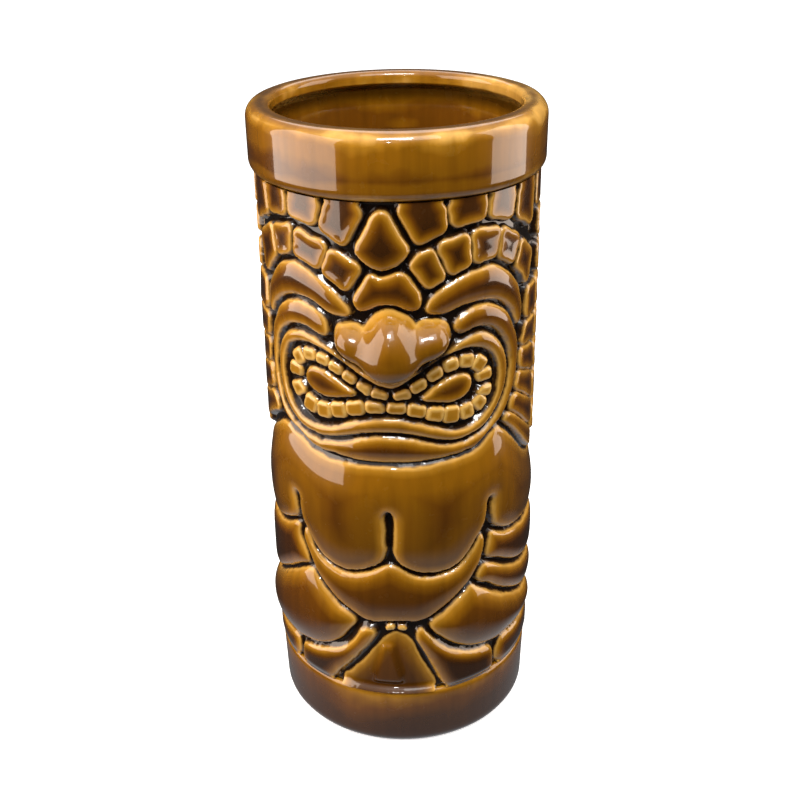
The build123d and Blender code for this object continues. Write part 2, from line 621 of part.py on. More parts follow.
# ---- fists: the two clenched hands, brought together under the belly ----
FIST_LEFT = [
    (-37.0, 52.2), (-30.5, 48.8), (-22.0, 44.4), (-15.6, 41.6), (-15.8, 39.6), (-20.0, 36.2),
    (-27.0, 32.2), (-36.0, 29.4), (-47.0, 27.9), (-58.0, 27.2), (-72.0, 27.2), (-85.0, 28.2),
    (-93.0, 31.2), (-90.0, 35.6), (-77.0, 38.6), (-64.0, 42.8), (-54.0, 46.8), (-44.6, 50.4),
]
FIST_RIGHT = [
    (34.2, 49.6), (26.0, 45.8), (18.6, 41.4), (17.4, 39.2), (22.0, 36.0), (29.0, 32.8),
    (37.0, 30.4), (48.0, 28.9), (60.0, 28.6), (72.0, 28.8), (84.0, 29.4), (91.0, 32.0),
    (84.0, 35.4), (72.0, 36.6), (60.5, 39.8), (50.5, 43.6), (42.0, 47.2),
]
with BuildPart() as fist_left:
    raise_masses([FIST_LEFT], FIST_RISE)

with BuildPart() as fist_right:
    raise_masses([FIST_RIGHT], FIST_RISE)

# ---- legs: a folded thigh and foot on each side, and the outer side of each foot ----
LEG_LEFT = [
    (-10.0, 39.6), (-6.9, 39.0), (-9.0, 35.4), (-14.0, 31.0), (-21.0, 25.0), (-27.6, 20.2),
    (-37.0, 19.5), (-45.8, 20.0), (-47.0, 23.6), (-44.6, 25.7), (-36.0, 27.2), (-26.6, 29.9),
    (-18.2, 34.0),
]
LEG_RIGHT = [
    (12.4, 39.2), (15.2, 38.2), (20.6, 34.1), (28.0, 30.6), (37.0, 28.1), (46.0, 26.7),
    (48.4, 24.4), (48.0, 20.0), (39.0, 19.4), (30.0, 19.5), (23.4, 20.4), (19.2, 26.0),
    (14.6, 33.0), (11.8, 37.6),
]
HIP_LEFT = [
    (-50.6, 24.4), (-51.0, 20.4), (-60.0, 19.5), (-74.0, 19.5), (-88.0, 20.0), (-95.0, 22.4),
    (-88.0, 25.0), (-74.0, 25.2), (-60.0, 25.4),
]
HIP_RIGHT = [
    (53.2, 25.4), (52.8, 20.4), (62.0, 19.5), (76.0, 19.5), (89.0, 20.2), (95.0, 23.2),
    (88.0, 26.2), (75.0, 26.6), (62.0, 26.6),
]
with BuildPart() as leg_left:
    raise_masses([LEG_LEFT], LEG_RISE)

with BuildPart() as leg_right:
    raise_masses([LEG_RIGHT], LEG_RISE)

with BuildPart() as hip_left:
    raise_masses([HIP_LEFT], HIP_RISE)

with BuildPart() as hip_right:
    raise_masses([HIP_RIGHT], HIP_RISE)

# ---- apron: the sloping flap between the legs, proudest at its foot, and two tabs over it ----
APRON = [
    (1.2, 38.6), (-2.4, 36.0), (-9.0, 30.4), (-16.6, 24.6), (-23.6, 20.2), (-12.0, 19.3),
    (0.0, 19.2), (11.0, 19.3), (19.4, 20.2), (14.6, 26.4), (9.4, 33.4), (5.4, 37.4),
]
BELT_TABS = [
    [(-1.4, 41.4), (1.4, 41.4), (1.4, 39.6), (-1.4, 39.6)],
    [(3.2, 41.4), (6.0, 41.4), (6.0, 39.6), (3.2, 39.6)],
]
with BuildPart() as apron:
    raise_masses([APRON], APRON_FOOT_RISE, APRON_TOP_RISE)

with BuildPart() as belt_tabs:
    raise_masses([softened(corners) for corners in BELT_TABS], TOOTH_RISE)

# ---- back: two plain halves either side of the spine ----
BACK_HALF = [
    (106.0, 60.0), (105.0, 70.0), (109.0, 79.0), (125.0, 80.8), (150.0, 81.0), (172.0, 80.8),
    (177.6, 78.6), (178.6, 70.0), (178.6, 50.0), (178.6, 30.0), (177.4, 22.0), (170.0, 19.9),
    (140.0, 19.6), (110.0, 19.8), (100.6, 22.6), (99.0, 29.0), (103.6, 38.0), (105.6, 48.0),
]
with BuildPart() as back_right:
    raise_masses([BACK_HALF], BACK_RISE)

with BuildPart() as back_left:
    raise_masses([[(-azimuth, height) for azimuth, height in BACK_HALF]], BACK_RISE)

# ---- names and files ----
SINGLE_PARTS = {
    "vessel": vessel,
    "rim_band": rim_band,
    "base_plinth": base_plinth,
    "crown_tiles_front": crown_tiles_front,
    "crown_tiles_back": crown_tiles_back,
    "brow_tiles_left": brow_tiles_left,
    "brow_tiles_right": brow_tiles_right,
    "forehead_gem": forehead_gem,
    "bridge_plate": bridge_plate,
    "brow_roll_left": brow_roll_left,
    "brow_roll_right": brow_roll_right,
    "cheek_roll_left": cheek_roll_left,
    "cheek_roll_right": cheek_roll_right,
    "lip_ring": lip_ring,
    "upper_teeth": upper_teeth,
    "lower_teeth": lower_teeth,
    "mouth_lobe_left": mouth_lobe_left,
    "mouth_lobe_right": mouth_lobe_right,
    "nose_bulb": nose_bulb,
    "nostril_left": nostril_left,
    "nostril_right": nostril_right,
    "chin": chin,
    "side_locks_left": side_locks_left,
    "side_locks_right": side_locks_right,
    "chest": chest,
    "belly": belly,
    "forearm_left": forearm_left,
    "forearm_right_upper": forearm_right_upper,
    "forearm_right_lower": forearm_right_lower,
    "fist_left": fist_left,
    "fist_right": fist_right,
    "leg_left": leg_left,
    "leg_right": leg_right,
    "hip_left": hip_left,
    "hip_right": hip_right,
    "apron": apron,
    "belt_tabs": belt_tabs,
    "back_left": back_left,
    "back_right": back_right,
}
os.makedirs("parts", exist_ok=True)
for name, builder in SINGLE_PARTS.items():
    builder.part.label = name
    export_step(builder.part, f"parts/{name}.step")
for hair_row in back_hair:
    export_step(hair_row.part, f"parts/{hair_row.part.label}.step")
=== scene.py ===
import math

import bmesh
import bpy
import numpy as np
from mathutils import Matrix, Vector
from mathutils.bvhtree import BVHTree
from mathutils.geometry import delaunay_2d_cdt
from mathutils.kdtree import KDTree


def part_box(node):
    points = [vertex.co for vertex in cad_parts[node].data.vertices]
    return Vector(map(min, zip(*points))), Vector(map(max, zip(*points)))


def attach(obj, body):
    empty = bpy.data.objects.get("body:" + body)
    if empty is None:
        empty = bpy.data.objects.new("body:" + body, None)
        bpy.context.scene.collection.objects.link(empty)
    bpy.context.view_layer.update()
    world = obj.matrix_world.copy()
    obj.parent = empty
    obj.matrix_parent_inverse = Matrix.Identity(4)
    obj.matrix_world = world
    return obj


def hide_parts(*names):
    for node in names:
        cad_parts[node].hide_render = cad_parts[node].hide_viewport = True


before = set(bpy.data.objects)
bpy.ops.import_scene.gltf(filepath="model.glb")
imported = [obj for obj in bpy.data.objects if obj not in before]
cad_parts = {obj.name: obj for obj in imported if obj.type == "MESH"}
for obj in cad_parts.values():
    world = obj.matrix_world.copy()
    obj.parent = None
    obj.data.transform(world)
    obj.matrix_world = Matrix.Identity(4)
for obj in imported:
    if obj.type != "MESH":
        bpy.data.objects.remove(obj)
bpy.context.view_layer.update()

# A glazed ceramic tiki mug. Millimetres here, metres in Blender.
# Every carved mass takes its outline from its CAD node, is given a fine mesh, and is raised from the
# wall as rounded clay. Its "edge" attribute, the distance from its outline, drives how the glaze breaks.

MM = 0.001
FLAT_R = 34.0
ROUND = 2 * np.pi * FLAT_R
rng = np.random.default_rng(7)

# meshes: spacings in mm, and loops in numbers of points
FINE_STEP = 0.3
RIM_STEP = 0.12
BACK_SPACING = 2.6
BACK_DEPTH = 0.35
FRONT_SPACING = 0.5
LEAST_POINTS = 14
SMALL_LOOP = 60
CHUNK = 2000

# outlines: how far they grow down a mass's flank, and how much of a groove they may take
GROWTH = 0.85
GAP_SHARE = 0.46
MITRE_REACH = 3
SHARPEST_BEND = 1.9
FACING_SHARE = 0.35
PLINTH_GAP = 0.02
BAND_GAP = 0.05

# where a mass meets the band or the plinth it doesn't fall away, but runs in
RIM_CLEAR = 0.5
BAND_CLEAR = 0.3
JOINT_HEIGHT = 2.4
JOINT_SIDE = 1.2
PLINTH_INSET = 0.25

# pooled glaze and painted shade: how much darker a mass is low down and away from its edges, and how far from
# an edge that starts and is full
POOL_AND_SHADE_DEPTH = 0.5
POOL_AND_SHADE_FROM = 0.8
POOL_AND_SHADE_RAMP = 3.0


# ---------------------------------------------------------------- the wall's ground
def node_points(name):
    """A CAD node's points in mm and its triangles, with the points that lie together made one."""
    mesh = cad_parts[name].data
    coords = np.empty(len(mesh.vertices) * 3)
    mesh.vertices.foreach_get("co", coords)
    mesh.calc_loop_triangles()
    corners = np.empty(len(mesh.loop_triangles) * 3, dtype=np.int64)
    mesh.loop_triangles.foreach_get("vertices", corners)
    points, back = np.unique(np.round(coords.reshape(-1, 3) / MM, 4), axis=0, return_inverse=True)
    return points, back.reshape(-1)[corners].reshape(-1, 3)


def radius_of(points):
    return np.hypot(points[:, 0], points[:, 1])


PLINTH_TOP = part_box("base_plinth")[1][2] / MM
BAND_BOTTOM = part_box("rim_band")[0][2] / MM
MUG_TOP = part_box("rim_band")[1][2] / MM
BAND_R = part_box("rim_band")[1][0] / MM
PLINTH_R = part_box("base_plinth")[1][0] / MM
vessel_points = node_points("vessel")[0]
vessel_r = radius_of(vessel_points)
at_top = np.abs(vessel_points[:, 2] - BAND_BOTTOM) < 0.01
GROUND_LOW_R = vessel_r[np.abs(vessel_points[:, 2] - PLINTH_TOP) < 0.01].max()
GROUND_HIGH_R = vessel_r[at_top].max()
CUP_HIGH_R = vessel_r[at_top].min()
FOOT_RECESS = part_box("vessel")[0][2] / MM


def ground_radius(height):
    share = (height - PLINTH_TOP) / (BAND_BOTTOM - PLINTH_TOP)
    return GROUND_LOW_R + share * (GROUND_HIGH_R - GROUND_LOW_R)


def on_wall(flat, rise):
    """Places points of the wall's flat development on the wall, raised from its ground."""
    angle = flat[:, 0] / FLAT_R
    radius = ground_radius(flat[:, 1]) + rise
    return np.c_[radius * np.sin(angle), -radius * np.cos(angle), flat[:, 1]]


# ---------------------------------------------------------------- outlines out of the CAD nodes
def split_islands(count, triangles):
    """Numbers each point with its solid, by following the triangles."""
    parent = list(range(count))

    def root(index):
        while parent[index] != index:
            parent[index] = parent[parent[index]]
            index = parent[index]
        return index

    for a, b, c in triangles.tolist():
        ra = root(a)
        parent[root(b)] = ra
        parent[root(c)] = root(ra)
    return np.array([root(index) for index in range(count)])


def chain_loops(triangles):
    """The closed loops that bound a patch of triangles, as lists of point numbers."""
    directed = set()
    for a, b, c in triangles.tolist():
        directed.update(((a, b), (b, c), (c, a)))
    following = {a: b for a, b in directed if (b, a) not in directed}
    loops = []
    while following:
        start, here = next(iter(following.items()))
        loop = [start]
        del following[start]
        while here != start and here in following:
            loop.append(here)
            here = following.pop(here)
        loops.append(loop)
    return [loop for loop in loops if len(loop) > 5]


def resampled(loop, step):
    closed = np.vstack([loop, loop[:1]])
    along = np.r_[0, np.cumsum(np.linalg.norm(np.diff(closed, axis=0), axis=1))]
    count = max(LEAST_POINTS, round(along[-1] / step))
    at = np.arange(count) / count * along[-1]
    return np.c_[np.interp(at, along, closed[:, 0]), np.interp(at, along, closed[:, 1])]


def eased(loop, passes):
    for _ in range(passes):
        loop = (np.roll(loop, 1, axis=0) + 2 * loop + np.roll(loop, -1, axis=0)) / 4
    return loop


def footprints(name):
    """For each solid of a node: its outline loops on the flat wall, and how its rise runs with height."""
    points, triangles = node_points(name)
    proud = radius_of(points) - ground_radius(points[:, 2])
    number = split_islands(len(points), triangles)
    found = []
    for island in np.unique(number):
        mine = number[triangles[:, 0]] == island
        own = points[number == island]
        centre = math.atan2(own[:, 0].mean(), -own[:, 1].mean())
        inner = triangles[mine & (np.abs(proud[triangles]) < 0.03).all(axis=1)]
        loops = []
        for loop in chain_loops(inner):
            place = points[loop]
            angle = np.arctan2(place[:, 0], -place[:, 1]) - centre
            angle = (angle + np.pi) % (2 * np.pi) - np.pi + centre
            loops.append(np.c_[angle * FLAT_R, place[:, 2]])
        own_proud = proud[number == island]
        high = own_proud > 0.4 * own_proud.max()
        slope, level = np.polyfit(own[high][:, 2], own_proud[high], 1)
        found.append({"loops": loops, "slope": slope, "level": level})
    found.sort(key=lambda item: (round(item["loops"][0][:, 1].mean(), 2), item["loops"][0][:, 0].mean()))
    return found


# ---------------------------------------------------------------- fine surfaces inside outlines
def inside(points, loops):
    """Which points lie inside the loops, with loops inside loops as holes."""
    odd = np.zeros(len(points), dtype=bool)
    x, y = points[:, 0], points[:, 1]
    for loop in loops:
        for (ax, ay), (bx, by) in zip(loop, np.roll(loop, -1, axis=0)):
            if ay == by:
                continue
            crosses = (ay > y) != (by > y)
            odd ^= crosses & (x < (bx - ax) * (y - ay) / (by - ay) + ax)
    return odd


def distance_to_points(points, targets):
    best = np.empty(len(points))
    for first in range(0, len(points), CHUNK):
        part = points[first : first + CHUNK]
        gaps = (part[:, None, 0] - targets[None, :, 0]) ** 2 + (part[:, None, 1] - targets[None, :, 1]) ** 2
        best[first : first + CHUNK] = np.sqrt(gaps.min(axis=1))
    return best


def distance_to(points, loops):
    """Distance from each point to the nearest stretch of the loops."""
    return np.min([distance_to_points(points, resampled(loop, RIM_STEP)) for loop in loops], axis=0)


def triangle_grid(low, high, spacing):
    """Points of a triangular grid over a rectangle."""
    grid = []
    for index, height in enumerate(np.arange(low[1], high[1], spacing * math.sqrt(3) / 2)):
        across = np.arange(low[0] + spacing / 2 * (index % 2), high[0], spacing)
        grid.append(np.c_[across, np.full(len(across), height)])
    return np.vstack(grid)


def fill_loops(loops, spacing):
    """Triangles over the inside of the loops: (flat points, triangles, each point's sources)."""
    everything = np.vstack(loops)
    grid = triangle_grid(everything.min(axis=0), everything.max(axis=0), spacing)
    grid = grid[inside(grid, loops)]
    grid = grid[distance_to(grid, loops) > 0.55 * spacing] if len(grid) else grid
    edges = []
    first = 0
    for loop in loops:
        count = len(loop)
        edges += [(first + index, first + (index + 1) % count) for index in range(count)]
        first += count
    given = [Vector(point) for point in np.vstack([everything, grid]).tolist()]
    verts, _, faces, origins, _, _ = delaunay_2d_cdt(given, edges, [], 0, 1e-6)
    flat = np.array([tuple(vert) for vert in verts])
    triangles = np.array(faces)
    keep = inside(flat[triangles].mean(axis=1), loops)
    return flat, triangles[keep], origins


def triangle_edges(triangles):
    pairs = np.sort(np.vstack([triangles[:, [0, 1]], triangles[:, [1, 2]], triangles[:, [2, 0]]]), axis=1)
    return np.unique(pairs, axis=0)


def smoothed(values, edges, fixed, passes):
    """Evens values out over a mesh, passes times, keeping the fixed points; fixed may be just False."""
    count = len(values)
    degree = np.maximum(np.bincount(edges.ravel(), minlength=count), 1)
    for _ in range(passes):
        total = np.bincount(edges[:, 0], weights=values[edges[:, 1]], minlength=count)
        total += np.bincount(edges[:, 1], weights=values[edges[:, 0]], minlength=count)
        values = np.where(fixed, values, 0.5 * values + 0.5 * total / degree)
    return values


def new_object(name, points, faces, attributes, sharp_flags=None):
    """A smooth mesh object from points in mm, with float attributes on its points."""
    mesh = bpy.data.meshes.new(name)
    mesh.from_pydata((np.asarray(points) * MM).tolist(), [], [tuple(face) for face in faces])
    mesh.polygons.foreach_set("use_smooth", np.ones(len(mesh.polygons), dtype=bool))
    for key, values in attributes.items():
        layer = mesh.attributes.new(key, "FLOAT", "POINT")
        layer.data.foreach_set("value", np.asarray(values, dtype=np.float32))
    if sharp_flags is not None:
        ends = np.empty(len(mesh.edges) * 2, dtype=np.int64)
        mesh.edges.foreach_get("vertices", ends)
        mesh.edges.foreach_set("use_edge_sharp", np.asarray(sharp_flags)[ends.reshape(-1, 2)].all(axis=1))
    mesh.update()
    obj = bpy.data.objects.new(name, mesh)
    bpy.context.scene.collection.objects.link(obj)
    return obj


def loop_area(loop):
    after = np.roll(loop, -1, axis=0)
    return 0.5 * (loop[:, 0] * after[:, 1] - after[:, 0] * loop[:, 1]).sum()


def outward_normals(loop, is_hole):
    along = np.roll(loop, -1, axis=0) - np.roll(loop, 1, axis=0)
    along /= np.maximum(np.linalg.norm(along, axis=1), 1e-9)[:, None]
    normals = np.c_[along[:, 1], -along[:, 0]]
    if loop_area(loop) < 0:
        normals = -normals
    return -normals if is_hole else normals


def grown(loops, kin):
    """Widens a mass's outline down its flanks, up to the middle of the groove to its neighbours.

    kin holds the mass's family and number, and every outline point with those of its own mass. Points
    of the mass's own family only count when they are its own."""
    family, own, tree, labels = kin
    areas = [abs(loop_area(loop)) for loop in loops]
    result = []
    for loop, area in zip(loops, areas):
        normals = outward_normals(loop, area < max(areas))
        ahead = np.roll(loop, -MITRE_REACH, axis=0) - loop
        behind = loop - np.roll(loop, MITRE_REACH, axis=0)
        bend = np.arctan2(
            behind[:, 0] * ahead[:, 1] - behind[:, 1] * ahead[:, 0], (behind * ahead).sum(axis=1)
        ) * np.sign(loop_area(loop))
        growth = GROWTH / np.cos(np.clip(bend, 0, SHARPEST_BEND) / 2)
        for index, (point, normal) in enumerate(zip(loop, normals)):
            for place, number, gap in tree.find_range((point[0] % ROUND, point[1], 0), 2.2 * GROWTH):
                label = labels[number]
                if gap < 0.05 or (label[0] == family and label[1] != own):
                    continue
                facing = (place[0] - point[0] % ROUND) * normal[0] + (place[1] - point[1]) * normal[1]
                if facing > FACING_SHARE * gap:
                    growth[index] = min(growth[index], GAP_SHARE * gap)
        growth = np.minimum(np.minimum(np.roll(growth, 1), growth), np.roll(growth, -1))
        for _ in range(4):
            growth = (np.roll(growth, 1) + growth + np.roll(growth, -1)) / 3
        wide = eased(loop + normals * growth[:, None], 2 if len(loop) > SMALL_LOOP else 0)
        wide[:, 1] = np.clip(wide[:, 1], PLINTH_TOP + PLINTH_GAP, BAND_BOTTOM - BAND_GAP)
        result.append(wide)
    return result


def boundary_of(triangles):
    """Loops of point numbers round a patch of triangles."""
    directed = set()
    for a, b, c in triangles.tolist():
        directed.update(((a, b), (b, c), (c, a)))
    following = {}
    for a, b in directed:
        if (b, a) not in directed:
            following.setdefault(a, []).append(b)
    loops = []
    while following:
        start = next(iter(following))
        loop = [start]
        here = following[start].pop()
        if not following[start]:
            del following[start]
        while here != start and here in following:
            loop.append(here)
            after = following[here].pop()
            if not following[here]:
                del following[here]
            here = after
        loops.append(loop)
    return [loop for loop in loops if len(loop) > 2]


def family_surface(members, style, spacing):
    """One surface over all the masses of a family: flat points, triangles, rises, distances from the
    outline, normals, and the member that each triangle belongs to.

    members are (node, loops, mass) with grown loops. The masses of a family run into each other, so
    they are meshed as one and shared out afterwards."""
    kept = []
    constraints = []
    count = 0
    for number, (_, loops, _) in enumerate(members):
        others = [other for second, (_, other, _) in enumerate(members) if second != number]
        for loop in loops:
            free = np.ones(len(loop), dtype=bool)
            for other in others:
                free &= ~inside(loop, other)
            for index in range(len(loop)):
                after = (index + 1) % len(loop)
                if free[index] or free[after]:
                    constraints.append((count + index, count + after))
            kept.append(loop)
            count += len(loop)
    every_loop = np.vstack(kept)
    used = np.unique(np.array(constraints).ravel())
    renumber = {old: new for new, old in enumerate(used.tolist())}
    rim = every_loop[used]
    constraints = [(renumber[a], renumber[b]) for a, b in constraints]

    grid = triangle_grid(rim.min(axis=0), rim.max(axis=0), spacing)

    def in_any(points):
        found = np.zeros(len(points), dtype=bool)
        for _, loops, _ in members:
            found |= inside(points, loops)
        return found

    grid = grid[in_any(grid)]
    grid = grid[distance_to_points(grid, rim) > 0.6 * spacing]
    given = [Vector(point) for point in np.vstack([rim, grid]).tolist()]
    verts, _, faces, _, _, _ = delaunay_2d_cdt(given, constraints, [], 0, 1e-5)
    flat = np.array([tuple(vert) for vert in verts])
    triangles = np.array([face for face in faces if len(face) == 3])
    triangles = triangles[in_any(flat[triangles].mean(axis=1))]
    corner = flat[triangles]
    turn = np.cross(corner[:, 1] - corner[:, 0], corner[:, 2] - corner[:, 0])
    triangles[turn < 0] = triangles[turn < 0][:, ::-1]
    triangles = triangles[np.abs(turn) > 1e-7]
    used = np.unique(triangles)
    lookup = np.full(len(flat), -1)
    lookup[used] = np.arange(len(used))
    flat = flat[used]
    triangles = lookup[triangles]

    on_rim = np.zeros(len(flat), dtype=bool)
    for loop in boundary_of(triangles):
        on_rim[loop] = True
    clear_of_plinth = flat[:, 1] > PLINTH_TOP + RIM_CLEAR
    falls = on_rim & clear_of_plinth & (flat[:, 1] < BAND_BOTTOM - BAND_CLEAR)
    edge = np.where(falls, 0.0, distance_to_points(flat, dense(flat, triangles, falls)))
    stands = on_rim & ~falls

    share = np.full((len(members), len(flat)), -1.0)
    centre_share = np.full((len(members), len(triangles)), -1.0)
    middles = flat[triangles].mean(axis=1)
    full = np.zeros(len(flat))
    for number, (_, loops, _) in enumerate(members):
        within = inside(middles, loops)
        centre_share[number, within] = distance_to(middles[within], loops) if within.any() else -1.0
        near = inside(flat, loops)
        share[number, near] = distance_to(flat[near], loops) if near.any() else -1.0
    owner = centre_share.argmax(axis=0)
    point_owner = share.argmax(axis=0)
    for number, (_, _, mass) in enumerate(members):
        mine = point_owner == number
        full[mine] = (mass["level"] + mass["slope"] * flat[:, 1])[mine]
    links = triangle_edges(triangles)
    rise = style(flat, edge, full, links, falls)
    if style is not flared:
        joint = smooth_step((flat[:, 1] - PLINTH_TOP) / JOINT_HEIGHT)
        plinth_rise = PLINTH_R - PLINTH_INSET - ground_radius(flat[:, 1])
        close = np.clip(edge / JOINT_SIDE, 0, 1)
        rise = rise * joint + plinth_rise * (1 - joint) * np.where(stands, 1.0, close)
    rise = np.where(falls, 0.0, rise)
    place = on_wall(flat, rise)
    first, second, third = (place[triangles[:, column]] for column in range(3))
    across = np.cross(second - first, third - first)
    normals = np.zeros_like(place)
    for column in range(3):
        for axis in range(3):
            normals[:, axis] += np.bincount(triangles[:, column], weights=across[:, axis], minlength=len(place))
    normals /= np.maximum(np.linalg.norm(normals, axis=1), 1e-12)[:, None]
    return flat, triangles, rise, edge, normals, owner


def dense(flat, triangles, chosen):
    """Points every tenth of a millimetre or so along the rim's chosen stretches."""
    points = []
    for loop in boundary_of(triangles):
        for a, b in zip(loop, loop[1:] + loop[:1]):
            if chosen[a] and chosen[b]:
                for part in (0.0, 0.33, 0.67):
                    points.append(flat[a] + (flat[b] - flat[a]) * part)
    return np.array(points)


def pooled_glaze_and_shade(flat, edge):
    """How much of the glaze colour is kept: less low on a mass and away from its edges, partly for glaze that
    pools there and partly as painted shade on the lower part of the mass.
    """
    top = flat[:, 1].max()
    bottom = flat[:, 1].min()
    low = smooth_step((top - flat[:, 1]) / (top - bottom))
    return 1 - POOL_AND_SHADE_DEPTH * low * smooth_step((edge - POOL_AND_SHADE_FROM) / POOL_AND_SHADE_RAMP)


def share_out(members, spacing, style):
    """Cuts a family's surface into closed parts, listed by node."""
    flat, triangles, rise, edge, normals, owner = family_surface(members, style, spacing)
    place = on_wall(flat, rise)
    objects = {}
    for number, (node, _, _) in enumerate(members):
        mine = triangles[owner == number]
        if not len(mine):
            continue
        used = np.unique(mine)
        lookup = np.full(len(flat), -1)
        lookup[used] = np.arange(len(used))
        mine = lookup[mine]
        own_flat = flat[used]
        rims = boundary_of(mine)
        backs = [own_flat[rim] for rim in rims]
        back_flat, back_triangles, origins = fill_loops(backs, BACK_SPACING)
        rim_count = sum(len(rim) for rim in rims)
        back_index = np.zeros(rim_count, dtype=np.int64)
        for index, sources in enumerate(origins):
            for source in sources:
                if source < rim_count:
                    back_index[source] = index
        front_count = len(used)
        walls = []
        first = 0
        for rim in rims:
            for index in range(len(rim)):
                after = (index + 1) % len(rim)
                a, b = rim[index], rim[after]
                c = front_count + back_index[first + after]
                d = front_count + back_index[first + index]
                if c != d:
                    walls.append((b, a, d, c))
                else:
                    walls.append((b, a, d))
            first += len(rim)
        back = on_wall(back_flat, np.full(len(back_flat), -BACK_DEPTH))
        on_rim = np.zeros(front_count, dtype=bool)
        for rim in rims:
            on_rim[rim] = True
        part = {
            "points": np.vstack([place[used], back]),
            "faces": mine.tolist() + (back_triangles[:, ::-1] + front_count).tolist() + walls,
            "edge": np.r_[edge[used], np.zeros(len(back))],
            # darker low on the mass: pooled glaze and painted shade
            "shade": np.r_[pooled_glaze_and_shade(own_flat, edge[used]), np.ones(len(back))],
            "tone": np.full(front_count + len(back), rng.uniform(-1, 1)),
            "sharp": np.r_[on_rim, np.zeros(len(back), dtype=bool)],
            "normals": np.vstack([normals[used], -back / np.linalg.norm(back, axis=1)[:, None]]),
        }
        objects.setdefault(node, []).append(part)
    return objects


def joined_object(name, parts):
    """One object out of the closed parts of a node."""
    points = []
    faces = []
    offset = 0
    for part in parts:
        points.append(part["points"])
        faces += [[index + offset for index in face] for face in part["faces"]]
        offset += len(part["points"])
    attributes = {key: np.concatenate([part[key] for part in parts]) for key in ("edge", "shade", "tone")}
    sharp = np.concatenate([part["sharp"] for part in parts])
    obj = new_object(name, np.vstack(points), faces, attributes, sharp)
    return obj, np.vstack([part["normals"] for part in parts])


# ---------------------------------------------------------------- how each kind of mass is rounded
def rounded_edge(edge, width, power=2.2):
    """0 at the outline, 1 from width inwards, along a quarter of a rounded square."""
    share = np.clip(edge / width, 0, 1)
    return (1 - (1 - share) ** power) ** (1 / power)


def smooth_step(share):
    share = np.clip(share, 0, 1)
    return share * share * (3 - 2 * share)


def groove_foot(edge):
    """The hollow foot of a mass's flank, where it leaves the groove."""
    return smooth_step((edge + 0.05) / 0.7)


def pillow(width, dish=0.0, passes=2, crown=0.0, reach=2.4):
    """Steep flanks, a rounded rim at width from the outline, then a dished or crowned middle."""

    def style(flat, edge, full, links, falls):
        middle = smooth_step((edge - width) / reach)
        rise = full * (1 - crown) * rounded_edge(edge, width) * groove_foot(edge)
        rise += full * (crown - dish) * middle
        return smoothed(rise, links, falls, passes)

    return style


def clay_swell(width, passes, power=2.0, foot=1.3, shelf=0.55):
    """A broad soft mass: steep flanks, foot mm wide, up to the shelf's share, then a wide swell."""

    def style(flat, edge, full, links, falls):
        flank = rounded_edge(edge, foot) * groove_foot(edge)
        swell = rounded_edge(edge, min(width, edge.max()), power)
        swell = smoothed(swell, links, False, passes)
        swell = (swell - swell.min()) / (swell.max() - swell.min())
        return smoothed(full * flank * (shelf + (1 - shelf) * swell), links, falls, 3)

    return style


RAY_START = 20.0


def sampled(nodes, passes):
    """Takes its heights off the CAD nodes themselves, evened out so that they run into each other."""
    trees = []
    for node in nodes:
        points, triangles = node_points(node)
        trees.append(BVHTree.FromPolygons(points.tolist(), triangles.tolist()))

    def style(flat, edge, full, links, falls):
        far = on_wall(flat, np.full(len(flat), RAY_START))
        rise = np.zeros(len(flat))
        for index, start in enumerate(far):
            towards = Vector((-start[0], -start[1], 0)).normalized()
            for tree in trees:
                hit = tree.ray_cast(Vector(start), towards, RAY_START + 2.0)[0]
                if hit is not None:
                    rise[index] = max(rise[index], math.hypot(hit[0], hit[1]) - ground_radius(start[2]))
        rise = smoothed(rise, links, falls, passes)
        return rise * groove_foot(edge)

    return style


APRON_FLOOR = 0.12
LEDGE_RISE = 1.7
LEDGE_SLOPE = 1.31
TAB_TOP = 4.5
TAB_FOOT = 2.4
TAB_HALF_TOP = 1.8
TAB_FLARE = 2.4
TAB_FLARE_HEIGHT = 10.0
APRON_ENDS = 0.9


def flared(flat, edge, full, links, falls):
    """The apron: sunk between the legs, a ledge at the plinth, and a raised tab down its middle."""
    above = flat[:, 1] - PLINTH_TOP
    below_top = flat[:, 1].max() - flat[:, 1]
    ledge = APRON_FLOOR + np.clip(LEDGE_RISE - LEDGE_SLOPE * np.maximum(above - 0.1, 0), 0, None)
    middle = (flat[:, 0].min() + flat[:, 0].max()) / 2
    drop = np.clip((below_top - 5.0) / TAB_FLARE_HEIGHT, 0, 1)
    side = TAB_HALF_TOP + TAB_FLARE * drop - np.abs(flat[:, 0] - middle)
    tab = smooth_step(np.minimum(side, np.minimum((below_top - TAB_TOP) * 0.8, above - TAB_FOOT)))
    ends = np.clip(edge / APRON_ENDS, 0, 1)
    return smoothed(np.maximum(ledge, ledge * 0.4 + tab) * ends, links, falls, 2)


# the chest leans in over this height towards the chin, judged in columns this wide
SHOULDER_DROP = 15.0
COLUMN = 1.5


def shoulder_slope(flat):
    """0 at the chest's upper edge to 1 well below it: the chest leans in towards the chin."""
    columns = np.round(flat[:, 0] / COLUMN).astype(int)
    columns -= columns.min()
    tops = np.full(columns.max() + 1, -1e9)
    np.maximum.at(tops, columns, flat[:, 1])
    kernel = np.ones(5) / 5
    tops = np.convolve(np.pad(tops, 2, mode="edge"), kernel, mode="valid")
    depth = np.interp(flat[:, 0], (np.arange(len(tops)) + columns.min()) * COLUMN + flat[:, 0].min(), tops)
    return np.clip((depth - flat[:, 1]) / SHOULDER_DROP, 0, 1)


HOLLOW_AT = 0.42
HOLLOW_HALF_WIDTH = 0.25
HOLLOW_REACH = 1.5


